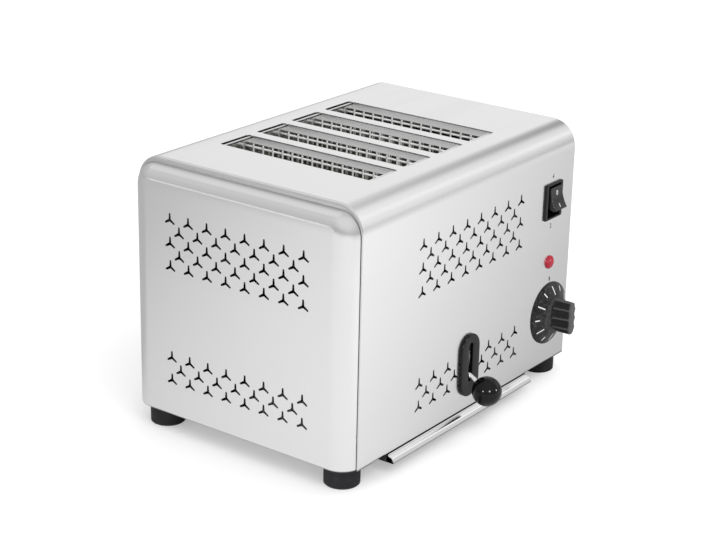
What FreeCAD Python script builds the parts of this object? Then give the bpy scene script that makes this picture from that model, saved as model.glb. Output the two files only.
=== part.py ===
import FreeCAD, Part
import Sketcher
import math
import os
import re

# A free-standing commercial toaster with four bread slots, in millimetres.
# +X is to the right of someone facing the controls, -Y is towards them, +Z is up.
# The origin is the middle of the space that the toaster takes up, on the table.

SIZES = {
    # outer body, measured over the side caps and the wrap, without the feet
    "width": 320.0,
    "depth": 215.0,
    "height": 205.0,
    "foot_height": 17.5,
    "front_y": -97.2,
    "steel": 1.0,
    "wrap_bend": 22.0,
    "seam_inset": 12.5,
    "lip_drop": 4.2,
    "edge_ease": 0.7,
    "seam_gap": 0.5,
    "bottom_lip": 12.0,
    # side caps
    "cap_round": 17.0,
    "cap_top_round": 10.5,
    "cap_corner": 18.5,
    "cap_flange": 30.0,
    # bread slots
    "slot_x": -8.25,
    "slot_pitch": 44.3,
    "slot_width": 34.0,
    "slot_length": 146.0,
    "slot_front": 34.5,
    "slot_corner": 2.0,
    # ventilation stars
    "vent_x": -2.3,
    "vent_pitch": 19.5,
    "vent_row": 9.46,
    "vent_arm": 5.4,
    "vent_tip": 1.1,
    "vent_web": 1.25,
    "vent_upper_z": 156.7,
    "vent_lower_z": 43.9,
    "back_vent_drop": 5.5,
    "side_vent_pitch": 18.4,
    "side_vent_upper_z": 162.2,
    "side_vent_lower_z": 49.1,
    # base plate, feet and screws
    "base_thick": 1.2,
    "base_gap": 0.3,
    "base_corner": 24.0,
    "foot_inset": 20.0,
    "foot_radius": 14.2,
    "foot_flange": 15.5,
    "foot_flange_thick": 3.0,
    "foot_chamfer": 0.8,
    "foot_recess": 7.0,
    "foot_recess_depth": 10.0,
    "foot_screw_radius": 2.0,
    "foot_screw_head": 4.0,
    "foot_screw_head_thick": 2.6,
    "nut_flats": 7.0,
    "nut_thick": 3.2,
    "screw_play": 0.2,
    "base_screw_radius": 1.5,
    "base_screw_head": 3.2,
    "base_screw_head_thick": 2.0,
    "base_screw_length": 5.0,
    "slit_x": 115.0,
    "slit_length": 30.0,
    "slit_width": 2.5,
    "slit_pitch": 10.0,
    "side_screw_inset": 8.0,
    "side_screw_y": 45.0,
    "end_screw_inset": 42.0,
    "end_screw_y": 7.0,
    # crumb tray and its runners
    "tray_x": -11.0,
    "tray_width": 197.0,
    "tray_length": 188.0,
    "tray_sheet": 0.8,
    "tray_drop": 7.0,
    "tray_gap": 0.4,
    "nose_reach": 6.6,
    "fold_reach": 3.8,
    "fold_drop": 1.9,
    "runner_gap": 0.3,
    "runner_ledge": 6.0,
    "runner_flange": 10.0,
    "runner_front": 14.0,
    "runner_length": 184.0,
    # toasting chamber
    "chamber_inset": 4.5,
    "chamber_margin": 7.5,
    "plate_top_gap": 2.0,
    "shield_thick": 0.8,
    "crumb_margin": 5.0,
    "board_thick": 1.0,
    "board_bottom": 62.0,
    "board_height": 128.0,
    "ribbon_wide": 1.8,
    "ribbon_thick": 0.3,
    "ribbon_passes": 11.0,
    "ribbon_margin": 5.0,
    "guard_inset": 3.0,
    "guard_rail": 0.9,
    "guard_wire": 0.75,
    "guard_wires": 14.0,
    "guard_rails": 4.0,
    "guard_bottom": 64.0,
    "guard_top": 200.0,
    "guard_end": 3.0,
    "guide_strip_thick": 0.8,
    "guide_strip_gap": 0.4,
    "guide_strip_height": 4.6,
    "guide_strip_top": 203.7,
    # bread carriage and lever
    "travel": 23.0,
    "rack_z": 57.0,
    "rack_width": 16.0,
    "rack_thick": 1.2,
    "rack_play": 0.6,
    "bar_gap": 4.5,
    "bar_thick": 1.5,
    "bar_depth": 35.0,
    "bar_margin": 10.0,
    "rod_x": 28.0,
    "rod_gap": 17.0,
    "rod_radius": 3.0,
    "rod_play": 0.05,
    "rod_height": 112.0,
    "bush_radius": 6.0,
    "bush_height": 14.0,
    "bracket_z": 106.0,
    "bracket_thick": 2.0,
    "bracket_reach": 7.0,
    "lug_x": 16.0,
    "lug_z": 44.0,
    "spring_radius": 3.5,
    "spring_wire": 0.8,
    "spring_end_gap": 0.3,
    "stop_gap": 0.3,
    "stop_width": 14.0,
    "lever_x": -2.3,
    "lever_z": 30.0,
    "arm_radius": 2.2,
    "arm_depth": 6.0,
    "ball_radius": 12.0,
    "ball_reach": 18.6,
    "ball_z": 19.8,
    "ball_bore_play": 0.05,
    "lever_plate_width": 25.5,
    "lever_plate_bottom": 11.2,
    "lever_plate_top": 64.2,
    "lever_plate_thick": 2.5,
    "lever_slot_width": 5.6,
    "lever_slot_bottom": 24.0,
    "lever_slot_top": 57.0,
    "wrap_slot_width": 8.0,
    # controls, one above the other
    "control_x": 115.5,
    "switch_z": 145.0,
    "bezel_width": 26.0,
    "bezel_height": 31.0,
    "bezel_thick": 1.8,
    "housing_width": 23.6,
    "housing_height": 28.8,
    "housing_depth": 24.0,
    "hole_play": 0.3,
    "rocker_width": 18.2,
    "rocker_play": 0.6,
    "rocker_half": 9.75,
    "rocker_rise": 12.55,
    "rocker_dip": 10.8,
    "rocker_bow": 0.2,
    "rocker_end": 1.8,
    "rocker_back": 5.6,
    "rocker_pivot_y": 5.7,
    "rocker_tilt": 16.0,
    "pocket_height": 27.6,
    "pocket_depth": 11.0,
    "trunnion_radius": 1.5,
    "trunnion_play": 0.05,
    "trunnion_length": 1.0,
    "terminal_width": 6.3,
    "terminal_thick": 0.8,
    "terminal_length": 9.0,
    "lamp_z": 91.0,
    "lamp_radius": 5.7,
    "lamp_rim": 1.2,
    "lamp_dome": 2.2,
    "lamp_stem": 4.9,
    "lamp_stem_length": 7.0,
    "lamp_body_radius": 4.5,
    "lamp_body_length": 20.0,
    "timer_z": 46.3,
    "timer_size": 44.0,
    "timer_depth": 34.0,
    "timer_bush_radius": 8.0,
    "timer_bush_length": 2.0,
    "shaft_radius": 3.0,
    "shaft_play": 0.05,
    "shaft_seat": 6.0,
    "knob_gap": 0.8,
    "skirt_radius": 26.8,
    "skirt_rim": 2.2,
    "skirt_wall": 1.8,
    "skirt_rise": 6.2,
    "skirt_top_radius": 15.6,
    "knob_reach": 25.5,
    "knob_hub": 6.0,
    "knob_cap": 4.0,
    "grip_foot_half": 8.6,
    "grip_end_half": 5.2,
    "grip_height": 27.4,
    "grip_foot_bow": 0.45,
    "grip_end_bow": 0.1,
    "grip_groove": 0.9,
    "grip_ease": 0.8,
    # mains inlet at the back
    "inlet_x": 108.0,
    "inlet_z": 34.0,
    "gland_flange": 10.5,
    "gland_flange_thick": 3.0,
    "gland_nose": 7.6,
    "gland_reach": 10.0,
    "gland_stem": 7.0,
    "gland_depth": 12.0,
    "gland_bore": 3.8,
    "block_width": 38.0,
    "block_depth": 20.0,
    "block_height": 15.0,
    "block_inset": 24.0,
}

doc = FreeCAD.newDocument("toaster")
sheet = doc.addObject("Spreadsheet::Sheet", "sizes")
for row, (alias, number) in enumerate(SIZES.items(), start=1):
    sheet.set("A%d" % row, alias)
    sheet.set("B%d" % row, repr(number))
    sheet.setAlias("B%d" % row, alias)
doc.recompute()


class Values:
    """The sheet's numbers, read back by name for shapes that part.py works out itself."""

    def __getattr__(self, alias):
        return float(sheet.get(alias))


val = Values()
nodes = []


def bound(text):
    """The same formula with the sheet's name before each alias."""
    return re.sub(r"[a-z_]\w*",
                  lambda word: "sizes." + word.group(0) if word.group(0) in SIZES else word.group(0), text)


def bind(thing, **formulas):
    for name, text in formulas.items():
        thing.setExpression(name, bound(text))
    return thing


def place(thing, x, y, z):
    for axis, text in zip("xyz", (x, y, z)):
        thing.setExpression("Placement.Base." + axis, bound(text))
    return thing


def node(thing, name):
    """Name a finished piece, which then gets a file of its own."""
    thing.Label = name
    nodes.append(thing)
    return thing


def box(name, corner, size):
    thing = doc.addObject("Part::Box", name)
    bind(thing, Length=size[0], Width=size[1], Height=size[2])
    return place(thing, *corner)


TURN = {
    "x": FreeCAD.Rotation(FreeCAD.Vector(0, 1, 0), 90),
    "y": FreeCAD.Rotation(FreeCAD.Vector(1, 0, 0), -90),
    "z": FreeCAD.Rotation(),
}


def rod(name, start, axis, radius, length):
    thing = doc.addObject("Part::Cylinder", name)
    thing.Placement = FreeCAD.Placement(FreeCAD.Vector(), TURN[axis])
    bind(thing, Radius=radius, Height=length)
    return place(thing, *start)


def joined(name, parts):
    thing = doc.addObject("Part::MultiFuse", name)
    thing.Shapes = parts
    thing.Refine = True
    return thing


def group(name, parts):
    thing = doc.addObject("Part::Compound", name)
    thing.Links = parts
    return thing


def less(name, base, tools):
    """The base with every tool cut away, and a check that each tool bites."""
    thing = doc.addObject("Part::Cut", name)
    thing.Base = base
    thing.Tool = tools[0] if len(tools) == 1 else joined(name + "_tools", tools)
    doc.recompute()
    if thing.Shape.Volume > base.Shape.Volume - 0.01:
        raise RuntimeError(name + ": the cut removed nothing")
    return thing


def shape_node(name, shape):
    thing = doc.addObject("Part::Feature", name)
    thing.Shape = shape
    return thing


def eased(name, base, rules):
    """Round the edges that a rule picks. A rule is a test on an edge, a start and an end radius."""
    doc.recompute()
    thing = doc.addObject("Part::Fillet", name)
    thing.Base = base
    picked = []
    for number, edge in enumerate(base.Shape.Edges, start=1):
        for test, first, last in rules:
            if test(edge):
                picked.append((number, first, last))
                break
    thing.Edges = picked
    doc.recompute()
    return thing


def lies(edge, **limits):
    """True when both ends and the middle of an edge have the given coordinates."""
    points = [edge.valueAt(edge.FirstParameter), edge.valueAt(edge.LastParameter)]
    points.append(edge.valueAt((edge.FirstParameter + edge.LastParameter) / 2))
    return all(abs(getattr(p, axis) - wanted) < 1e-4 for p in points for axis, wanted in limits.items())


def runs(edge, axis):
    ends = edge.valueAt(edge.LastParameter) - edge.valueAt(edge.FirstParameter)
    return edge.Curve.TypeId == "Part::GeomLine" and abs(abs(getattr(ends, axis)) - ends.Length) < 1e-6


def outline(body, name, points):
    """A closed sketch of straight sides on the body's XY plane, every corner set by two formulas."""
    sketch = body.newObject("Sketcher::SketchObject", name)
    plane = [part for part in body.Origin.OriginFeatures if part.Role == "XY_Plane"][0]
    sketch.AttachmentSupport = [(plane, "")]
    sketch.MapMode = "FlatFace"
    count = len(points)
    rough = [FreeCAD.Vector(10 * math.cos(2 * math.pi * i / count), 10 * math.sin(2 * math.pi * i / count),
                            0)
             for i in range(count)]
    for i in range(count):
        sketch.addGeometry(Part.LineSegment(rough[i], rough[(i + 1) % count]), False)
    for i in range(count):
        sketch.addConstraint(Sketcher.Constraint("Coincident", i, 2, (i + 1) % count, 1))
    for i, (across, up) in enumerate(points):
        for kind, text, axis in (("DistanceX", across, -2), ("DistanceY", up, -1)):
            if text == "0":
                sketch.addConstraint(Sketcher.Constraint("PointOnObject", i, 1, axis))
                continue
            start = rough[i].x if kind == "DistanceX" else rough[i].y
            number = sketch.addConstraint(Sketcher.Constraint(kind, -1, 1, i, 1, start))
            sketch.setExpression("Constraints[%d]" % number, bound(text))
    return sketch


def turned(name, points, axis, spot):
    """A turned piece: an outline of (radius, distance along the axis) spun about the axis."""
    body = doc.addObject("PartDesign::Body", name)
    sketch = outline(body, name + "_outline", points)
    doc.recompute()
    spin = body.newObject("PartDesign::Revolution", name + "_spin")
    spin.Profile = sketch
    spin.ReferenceAxis = (sketch, ["V_Axis"])
    spin.Angle = 360.0
    # the sketch's second axis is Y, so the body is turned until that lies along the wanted axis
    ways = {
        "z": FreeCAD.Rotation(FreeCAD.Vector(1, 0, 0), 90),
        "-y": FreeCAD.Rotation(FreeCAD.Vector(1, 0, 0), 180),
        "y": FreeCAD.Rotation(),
    }
    body.Placement = FreeCAD.Placement(FreeCAD.Vector(), ways[axis])
    doc.recompute()
    return place(body, *spot)


def folded(name, points, length, along, spot):
    """A strip or bar of one section: an outline padded along X or Y.

    Along X the outline's two directions are Y and Z, along Y they are X and Z."""
    body = doc.addObject("PartDesign::Body", name)
    sketch = outline(body, name + "_outline", points)
    doc.recompute()
    pad = body.newObject("PartDesign::Pad", name + "_pad")
    pad.Profile = sketch
    pad.setExpression("Length", bound(length))
    if along == "x":
        turn = FreeCAD.Rotation(FreeCAD.Vector(0, 1, 0), FreeCAD.Vector(0, 0, 1), FreeCAD.Vector(1, 0, 0))
    else:
        pad.Reversed = True
        turn = FreeCAD.Rotation(FreeCAD.Vector(1, 0, 0), FreeCAD.Vector(0, 0, 1), FreeCAD.Vector(0, -1, 0))
    body.Placement = FreeCAD.Placement(FreeCAD.Vector(), turn)
    doc.recompute()
    return place(body, *spot)


def star(arm, tip, web):
    """Corners of a three-armed star with one arm up, in its own plane."""
    corners = []
    for turn in (90, 210, 330):
        along = math.radians(turn)
        side = along + math.pi / 2
        for sign in (-1, 1):
            across = sign * tip / 2
            corners.append((arm * math.cos(along) + across * math.cos(side),
                            arm * math.sin(along) + across * math.sin(side)))
        notch = math.radians(turn + 60)
        corners.append((web * math.cos(notch), web * math.sin(notch)))
    return corners


def star_rows(pitch, upper, lower):
    """Centres of the ventilation stars: five upper rows and three lower ones, every other one shorter."""
    centres = []
    for top, rows in ((upper, 5), (lower, 3)):
        for row in range(rows):
            columns = 8 - row % 2
            for column in range(columns):
                centres.append(((column - (columns - 1) / 2) * pitch, top - row * val.vent_row))
    return centres


def star_cutters(name, centres, to_space, push):
    """One prism for each star. to_space turns the panel's two directions into a point."""
    prisms = []
    for across, up in centres:
        corners = [to_space(across + u, up + v) for u, v in star(val.vent_arm, val.vent_tip, val.vent_web)]
        prisms.append(Part.Face(Part.makePolygon(corners + corners[:1])).extrude(push))
    return shape_node(name, Part.makeCompound(prisms))


half = val.width / 2
front = val.front_y
back = front + val.depth
floor = val.foot_height

# Formulas that many pieces share
FLOOR = "foot_height"
FRONT = "front_y"
BACK = "(front_y + depth)"
LEFT = "(-width / 2)"
BASE_TOP = "(foot_height + steel + base_thick)"
CHAMBER_FRONT = "(front_y + slot_front + chamber_inset)"
CHAMBER_BACK = "(front_y + slot_front + slot_length - chamber_inset)"
CHAMBER_LENGTH = "(slot_length - 2 * chamber_inset)"
CHAMBER_HALF = "(2 * slot_pitch + chamber_margin)"
chamber_front = front + val.slot_front + val.chamber_inset
chamber_length = val.slot_length - 2 * val.chamber_inset


def make_wrap():
    """Top, front and back in one bent sheet with a small lip along both ends of the top."""
    block = box("wrap_block", (LEFT + " + seam_inset", FRONT, FLOOR),
                ("width - 2 * seam_inset", "depth", "height"))
    top = floor + val.height
    bent = eased("wrap_bent", block, [
        (lambda e: runs(e, "x") and lies(e, z=top), val.wrap_bend, val.wrap_bend)])
    ends = (-half + val.seam_inset, half - val.seam_inset)

    def at_end(edge):
        return any(lies(edge, x=end) for end in ends)

    soft = eased("wrap_soft", bent, [
        (lambda e: at_end(e) and runs(e, "z"), val.edge_ease, val.edge_ease),
        (lambda e: at_end(e) and lies(e, z=top), val.edge_ease, val.edge_ease),
        (lambda e: at_end(e) and not lies(e, z=floor), val.edge_ease, val.edge_ease)])
    inner_block = box("wrap_inner_block", (LEFT + " + seam_inset + steel", FRONT + " + steel",
                                           FLOOR + " - steel"),
                      ("width - 2 * seam_inset - 2 * steel", "depth - 2 * steel", "height"))
    inner = eased("wrap_inner", inner_block, [
        (lambda e: runs(e, "x") and lies(e, z=top - val.steel), val.wrap_bend - val.steel,
         val.wrap_bend - val.steel)])
    lip_block = box("wrap_lip_block", (LEFT, FRONT + " + steel", FLOOR + " - steel"),
                    ("width", "depth - 2 * steel", "height + steel - lip_drop"))
    lip = eased("wrap_lip", lip_block, [
        (lambda e: runs(e, "x") and lies(e, z=top - val.lip_drop), val.cap_corner, val.cap_corner)])
    shell = less("wrap_shell", soft, [inner, lip])
    lips = []
    for side, y in (("front", FRONT), ("back", BACK + " - bottom_lip - steel")):
        lips.append(box("wrap_%s_lip" % side, (LEFT + " + cap_flange + steel", y, FLOOR),
                        ("width - 2 * cap_flange - 2 * steel", "bottom_lip + steel", "steel")))
    sheet_metal = joined("wrap_sheet", [shell] + lips)

    slots = []
    for i in range(4):
        middle = "slot_x + (%.1f) * slot_pitch" % (i - 1.5)
        opening = box("slot_%d" % (i + 1), (middle + " - slot_width / 2", FRONT + " + slot_front",
                                            FLOOR + " + height - 2 * steel"),
                      ("slot_width", "slot_length", "3 * steel"))
        slots.append(eased("slot_%d_cut" % (i + 1), opening, [
            (lambda e: runs(e, "z"), val.slot_corner, val.slot_corner)]))
    lever_slot = box("wrap_lever_slot", ("lever_x - wrap_slot_width / 2", FRONT + " - steel",
                                         FLOOR + " + lever_slot_bottom"),
                     ("wrap_slot_width", "3 * steel", "lever_slot_top - lever_slot_bottom"))
    switch_hole = box("switch_hole", ("control_x - housing_width / 2 - hole_play", FRONT + " - steel",
                                      FLOOR + " + switch_z - housing_height / 2 - hole_play"),
                      ("housing_width + 2 * hole_play", "3 * steel", "housing_height + 2 * hole_play"))
    lamp_hole = rod("lamp_hole", ("control_x", FRONT + " - steel", FLOOR + " + lamp_z"), "y",
                    "lamp_stem + screw_play", "3 * steel")
    timer_hole = rod("timer_hole", ("control_x", FRONT + " - steel", FLOOR + " + timer_z"), "y",
                     "shaft_radius + 1.5 * steel", "3 * steel")
    gland_hole = rod("gland_hole", ("inlet_x", BACK + " - 2 * steel", FLOOR + " + inlet_z"), "y",
                     "gland_stem + screw_play", "3 * steel")
    screw_holes = []
    for i, (x, y) in enumerate(END_SCREWS):
        screw_holes.append(rod("wrap_screw_hole_%d" % (i + 1), (x, y, FLOOR + " - steel"), "z",
                               "base_screw_radius + screw_play", "3 * steel"))
    centres = star_rows(val.vent_pitch, val.vent_upper_z, val.vent_lower_z)
    through = FreeCAD.Vector(0, val.steel + 2, 0)
    front_stars = star_cutters("front_stars", centres,
                               lambda u, v: FreeCAD.Vector(val.vent_x + u, front - 1, floor + v), through)
    behind = back - val.steel - 1
    base = floor - val.back_vent_drop
    back_stars = star_cutters("back_stars", [c for c in centres if c[1] > val.vent_lower_z],
                              lambda u, v: FreeCAD.Vector(val.vent_x + u, behind, base + v), through)
    cut = less("wrap_cut", sheet_metal, slots + [lever_slot, switch_hole, lamp_hole, timer_hole, gland_hole]
               + screw_holes)
    starred = less("wrap_front_starred", cut, [front_stars])
    node(less("outer_wrap", starred, [back_stars]), "outer_wrap")


SIDE_SCREWS = [(LEFT + " + side_screw_inset", FRONT + " + side_screw_y"),
               (LEFT + " + side_screw_inset", BACK + " - side_screw_y"),
               ("width / 2 - side_screw_inset", FRONT + " + side_screw_y"),
               ("width / 2 - side_screw_inset", BACK + " - side_screw_y")]
END_SCREWS = [(LEFT + " + end_screw_inset", FRONT + " + end_screw_y"),
              (LEFT + " + end_screw_inset", BACK + " - end_screw_y"),
              ("width / 2 - end_screw_inset", FRONT + " + end_screw_y"),
              ("width / 2 - end_screw_inset", BACK + " - end_screw_y")]


def cap_solid(name, inset):
    """A side cap's outer form, or with an inset its hollow: half a soft-edged block, and its mirror."""
    sheets = "%d * steel" % inset
    block = box(name + "_block", (LEFT + " + " + sheets, FRONT + " + steel + " + sheets,
                                  FLOOR + " + " + sheets),
                ("cap_flange", "depth / 2 - steel - " + sheets,
                 "height - lip_drop - seam_gap - 2 * " + sheets))
    gap = inset * val.steel
    face = -half + gap
    bottom = floor + gap
    top = floor + val.height - val.lip_drop - val.seam_gap - gap
    corner = val.cap_corner - gap
    side = val.cap_round - gap
    upper = val.cap_top_round - gap
    near = front + val.steel + gap
    cornered = eased(name + "_cornered", block, [(lambda e: lies(e, y=near, z=top), corner, corner)])
    soft = eased(name + "_soft", cornered, [
        (lambda e: lies(e, x=face, y=near), side, side),
        (lambda e: lies(e, x=face, z=top), upper, upper),
        (lambda e: lies(e, x=face) and not lies(e, z=bottom) and not runs(e, "z"), side, upper)])
    other = doc.addObject("Part::Mirroring", name + "_mirrored")
    other.Source = soft
    other.Normal = FreeCAD.Vector(0, 1, 0)
    other.setExpression("Base.y", bound(FRONT + " + depth / 2"))
    return joined(name, [soft, other])


def make_caps():
    outer = cap_solid("cap_outer", 0)
    hollow = cap_solid("cap_hollow", 1)
    under = box("cap_under", (LEFT + " + steel + bottom_lip", FRONT + " + 2 * steel", FLOOR + " - steel"),
                ("cap_flange", "depth - 4 * steel", "3 * steel"))
    shell = less("cap_shell", outer, [hollow, under])
    holes = [rod("cap_screw_hole_%d" % (i + 1), (x, y, FLOOR + " - steel"), "z",
                 "base_screw_radius + screw_play", "3 * steel") for i, (x, y) in enumerate(SIDE_SCREWS[:2])]
    drilled = less("cap_drilled", shell, holes)
    centres = star_rows(val.side_vent_pitch, val.side_vent_upper_z, val.side_vent_lower_z)
    stars = star_cutters("side_stars", centres,
                         lambda u, v: FreeCAD.Vector(-half - 1, front + val.depth / 2 + u, floor + v),
                         FreeCAD.Vector(val.steel + 2, 0, 0))
    left = less("left_side_cap", drilled, [stars])
    node(left, "left_side_cap")
    right = doc.addObject("Part::Mirroring", "right_side_cap")
    right.Source = left
    right.Normal = FreeCAD.Vector(1, 0, 0)
    node(right, "right_side_cap")


FOOT_SPOTS = {
    "foot_front_left": (LEFT + " + foot_inset", FRONT + " + foot_inset"),
    "foot_front_right": ("width / 2 - foot_inset", FRONT + " + foot_inset"),
    "foot_back_left": (LEFT + " + foot_inset", BACK + " - foot_inset"),
    "foot_back_right": ("width / 2 - foot_inset", BACK + " - foot_inset"),
}


def make_base():
    """Base plate with a crumb opening, cooling slits and screw holes, and all that hangs below it."""
    side = "(steel + base_gap)"
    end = "(2 * steel + base_gap)"
    block = box("base_block", (LEFT + " + " + side, FRONT + " + " + end, FLOOR + " + steel"),
                ("width - 2 * " + side, "depth - 2 * " + end, "base_thick"))
    plate = eased("base_rounded", block, [(lambda e: runs(e, "z"), val.base_corner, val.base_corner)])
    tools = [box("crumb_opening", ("slot_x - %s + crumb_margin" % CHAMBER_HALF,
                                   CHAMBER_FRONT + " + crumb_margin", FLOOR),
                 ("2 * (%s - crumb_margin)" % CHAMBER_HALF, CHAMBER_LENGTH + " - 2 * crumb_margin",
                  "3 * steel + base_thick"))]
    for i in range(6):
        tools.append(box("cooling_slit_%d" % (i + 1),
                         ("slit_x - slit_length / 2",
                          FRONT + " + depth / 2 + (%.1f) * slit_pitch - slit_width / 2" % (i - 2.5),
                          FLOOR), ("slit_length", "slit_width", "3 * steel + base_thick")))
    for name, (x, y) in FOOT_SPOTS.items():
        tools.append(rod(name + "_hole", (x, y, FLOOR), "z", "foot_screw_radius + screw_play",
                         "3 * steel + base_thick"))
    for i, (x, y) in enumerate(SIDE_SCREWS + END_SCREWS):
        tools.append(rod("base_screw_hole_%d" % (i + 1), (x, y, FLOOR), "z",
                         "base_screw_radius + screw_play",
                         "3 * steel + base_thick"))
    node(less("base_plate", plate, tools), "base_plate")

    foot = [("foot_radius - foot_chamfer", "0"), ("foot_radius", "foot_chamfer"),
            ("foot_radius", "foot_height - foot_flange_thick"),
            ("foot_flange", "foot_height - foot_flange_thick"),
            ("foot_flange", "foot_height"), ("foot_screw_radius + screw_play", "foot_height"),
            ("foot_screw_radius + screw_play", "foot_recess_depth"), ("foot_recess", "foot_recess_depth"),
            ("foot_recess", "0")]
    screws = []
    nuts = []
    for name, (x, y) in FOOT_SPOTS.items():
        node(turned(name, foot, "z", (x, y, "0")), name)
        head = rod(name + "_screw_head", (x, y, "foot_recess_depth - foot_screw_head_thick"), "z",
                   "foot_screw_head", "foot_screw_head_thick")
        stem = rod(name + "_screw_stem", (x, y, "foot_recess_depth - foot_screw_head_thick"), "z",
                   "foot_screw_radius",
                   "foot_height - foot_recess_depth + foot_screw_head_thick"
                   " + base_thick + nut_thick + 2 * steel")
        screws.append(joined(name + "_screw", [head, stem]))
        nut = doc.addObject("Part::Prism", name + "_nut_block")
        bind(nut, Circumradius="nut_flats / 2 / cos(30)", Height="nut_thick")
        place(nut, x, y, BASE_TOP)
        bore = rod(name + "_nut_bore", (x, y, BASE_TOP + " - steel"), "z", "foot_screw_radius + rod_play",
                   "nut_thick + 2 * steel")
        nuts.append(less(name + "_nut", nut, [bore]))
    node(group("foot_screws", screws), "foot_screws")
    node(group("foot_nuts", nuts), "foot_nuts")
    fixings = []
    for i, (x, y) in enumerate(SIDE_SCREWS + END_SCREWS):
        head = rod("base_screw_head_%d" % (i + 1), (x, y, FLOOR + " - base_screw_head_thick"), "z",
                   "base_screw_head",
                   "base_screw_head_thick")
        stem = rod("base_screw_stem_%d" % (i + 1), (x, y, FLOOR + " - base_screw_head_thick"), "z",
                   "base_screw_radius",
                   "base_screw_head_thick + base_screw_length")
        fixings.append(joined("base_screw_%d" % (i + 1), [head, stem]))
    node(group("base_screws", fixings), "base_screws")


def make_tray():
    """Crumb tray with a folded, open-ended nose, on two runners under the base plate."""
    left = "(tray_x - tray_width / 2)"
    low = "(foot_height - tray_drop)"
    tray_floor = box("tray_floor", (left, FRONT + " - nose_reach + 2 * tray_sheet", low),
                     ("tray_width", "tray_length + nose_reach - 2 * tray_sheet", "tray_sheet"))
    walls = [box("tray_wall_left", (left, FRONT, low), ("tray_sheet", "tray_length",
                                                        "tray_drop - 2 * tray_gap")),
             box("tray_wall_right", (left + " + tray_width - tray_sheet", FRONT, low),
                 ("tray_sheet", "tray_length", "tray_drop - 2 * tray_gap")),
             box("tray_wall_back", (left, FRONT + " + tray_length - tray_sheet", low),
                 ("tray_width", "tray_sheet", "tray_drop - 2 * tray_gap")),
             box("tray_wall_front", (left, FRONT, low), ("tray_width", "tray_sheet",
                                                         "tray_drop - 2 * tray_gap"))]
    nose = folded("tray_nose", [
        ("tray_sheet", "tray_drop - tray_gap"),
        ("-fold_reach", "tray_drop - fold_drop"),
        ("-nose_reach", "0"),
        ("-nose_reach + 3 * tray_sheet", "0"),
        ("-nose_reach + 3 * tray_sheet", "tray_sheet"),
        ("-nose_reach + 1.6 * tray_sheet", "tray_sheet"),
        ("-fold_reach + 0.9 * tray_sheet", "tray_drop - fold_drop - 0.8 * tray_sheet"),
        ("tray_sheet", "tray_drop - tray_gap - tray_sheet")], "tray_width", "x", (left, FRONT, low))
    node(joined("crumb_tray", [tray_floor, nose] + walls), "crumb_tray")

    edge = "(tray_width / 2 + runner_gap)"
    drop = "(tray_drop + runner_gap + steel)"
    for name, sign in (("tray_runner_left", "-"), ("tray_runner_right", "")):
        out = sign + "(%s)"
        section = [(out % edge, "steel"), (out % (edge + " + steel + runner_flange"), "steel"),
                   (out % (edge + " + steel + runner_flange"), "0"), (out % (edge + " + steel"), "0"),
                   (out % (edge + " + steel"), "-" + drop), (out % (edge + " - runner_ledge"), "-" + drop),
                   (out % (edge + " - runner_ledge"), "-" + drop + " + steel"),
                   (out % edge, "-" + drop + " + steel")]
        node(folded(name, section, "runner_length", "y", ("tray_x", FRONT + " + runner_front", FLOOR)),
             name)


def make_chamber():
    """Inner plates, heat shields, heater boards with their ribbons, bread guards and guide strips."""
    plate_height = "height - steel - base_thick - plate_top_gap"
    for name, y in (("inner_front_plate", CHAMBER_FRONT + " - steel"), ("inner_back_plate", CHAMBER_BACK)):
        plate = box(name + "_blank", ("slot_x - " + CHAMBER_HALF, y, BASE_TOP),
                    ("2 * " + CHAMBER_HALF, "steel", plate_height))
        windows = [box("%s_window_%d" % (name, i + 1),
                       ("slot_x + (%.1f) * slot_pitch - rack_width / 2 - rack_play" % (i - 1.5),
                        y + " - steel",
                        FLOOR + " + rack_z - rack_play"),
                       ("rack_width + 2 * rack_play", "3 * steel", "travel + rack_thick + 2 * rack_play"))
                   for i in range(4)]
        node(less(name, plate, windows), name)
    for name, x in (("heat_shield_left", "slot_x - " + CHAMBER_HALF),
                    ("heat_shield_right", "slot_x + %s - shield_thick" % CHAMBER_HALF)):
        node(box(name, (x, CHAMBER_FRONT, BASE_TOP), ("shield_thick", CHAMBER_LENGTH, plate_height)), name)

    for k in range(5):
        middle = "slot_x + (%d) * slot_pitch" % (k - 2)
        node(box("heater_board_%d" % (k + 1), (middle + " - board_thick / 2", CHAMBER_FRONT,
                                               FLOOR + " + board_bottom"),
                 ("board_thick", CHAMBER_LENGTH, "board_height")), "heater_board_%d" % (k + 1))
        x = val.slot_x + (k - 2) * val.slot_pitch
        faces = [sign for sign in (-1, 1) if 0 <= k + (sign - 1) / 2 <= 3]
        ribbons = [ribbon(x, sign) for sign in faces]
        node(shape_node("heater_ribbon_%d" % (k + 1), Part.makeCompound(ribbons)),
             "heater_ribbon_%d" % (k + 1))

    for i in range(4):
        x = val.slot_x + (i - 1.5) * val.slot_pitch
        grids = [guard_grid(x, sign) for sign in (-1, 1)]
        node(shape_node("bread_guard_%d" % (i + 1), Part.makeCompound(grids)), "bread_guard_%d" % (i + 1))

    strips = []
    for i in range(4):
        middle = "slot_x + (%.1f) * slot_pitch" % (i - 1.5)
        for side, x in (("left", middle + " - slot_width / 2 - guide_strip_gap - guide_strip_thick"),
                        ("right", middle + " + slot_width / 2 + guide_strip_gap")):
            strips.append(box("guide_strip_%s_%d" % (side, i + 1),
                              (x, CHAMBER_FRONT, FLOOR + " + guide_strip_top - guide_strip_height"),
                              ("guide_strip_thick", CHAMBER_LENGTH, "guide_strip_height")))
    node(group("guide_strips", strips), "guide_strips")


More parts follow.
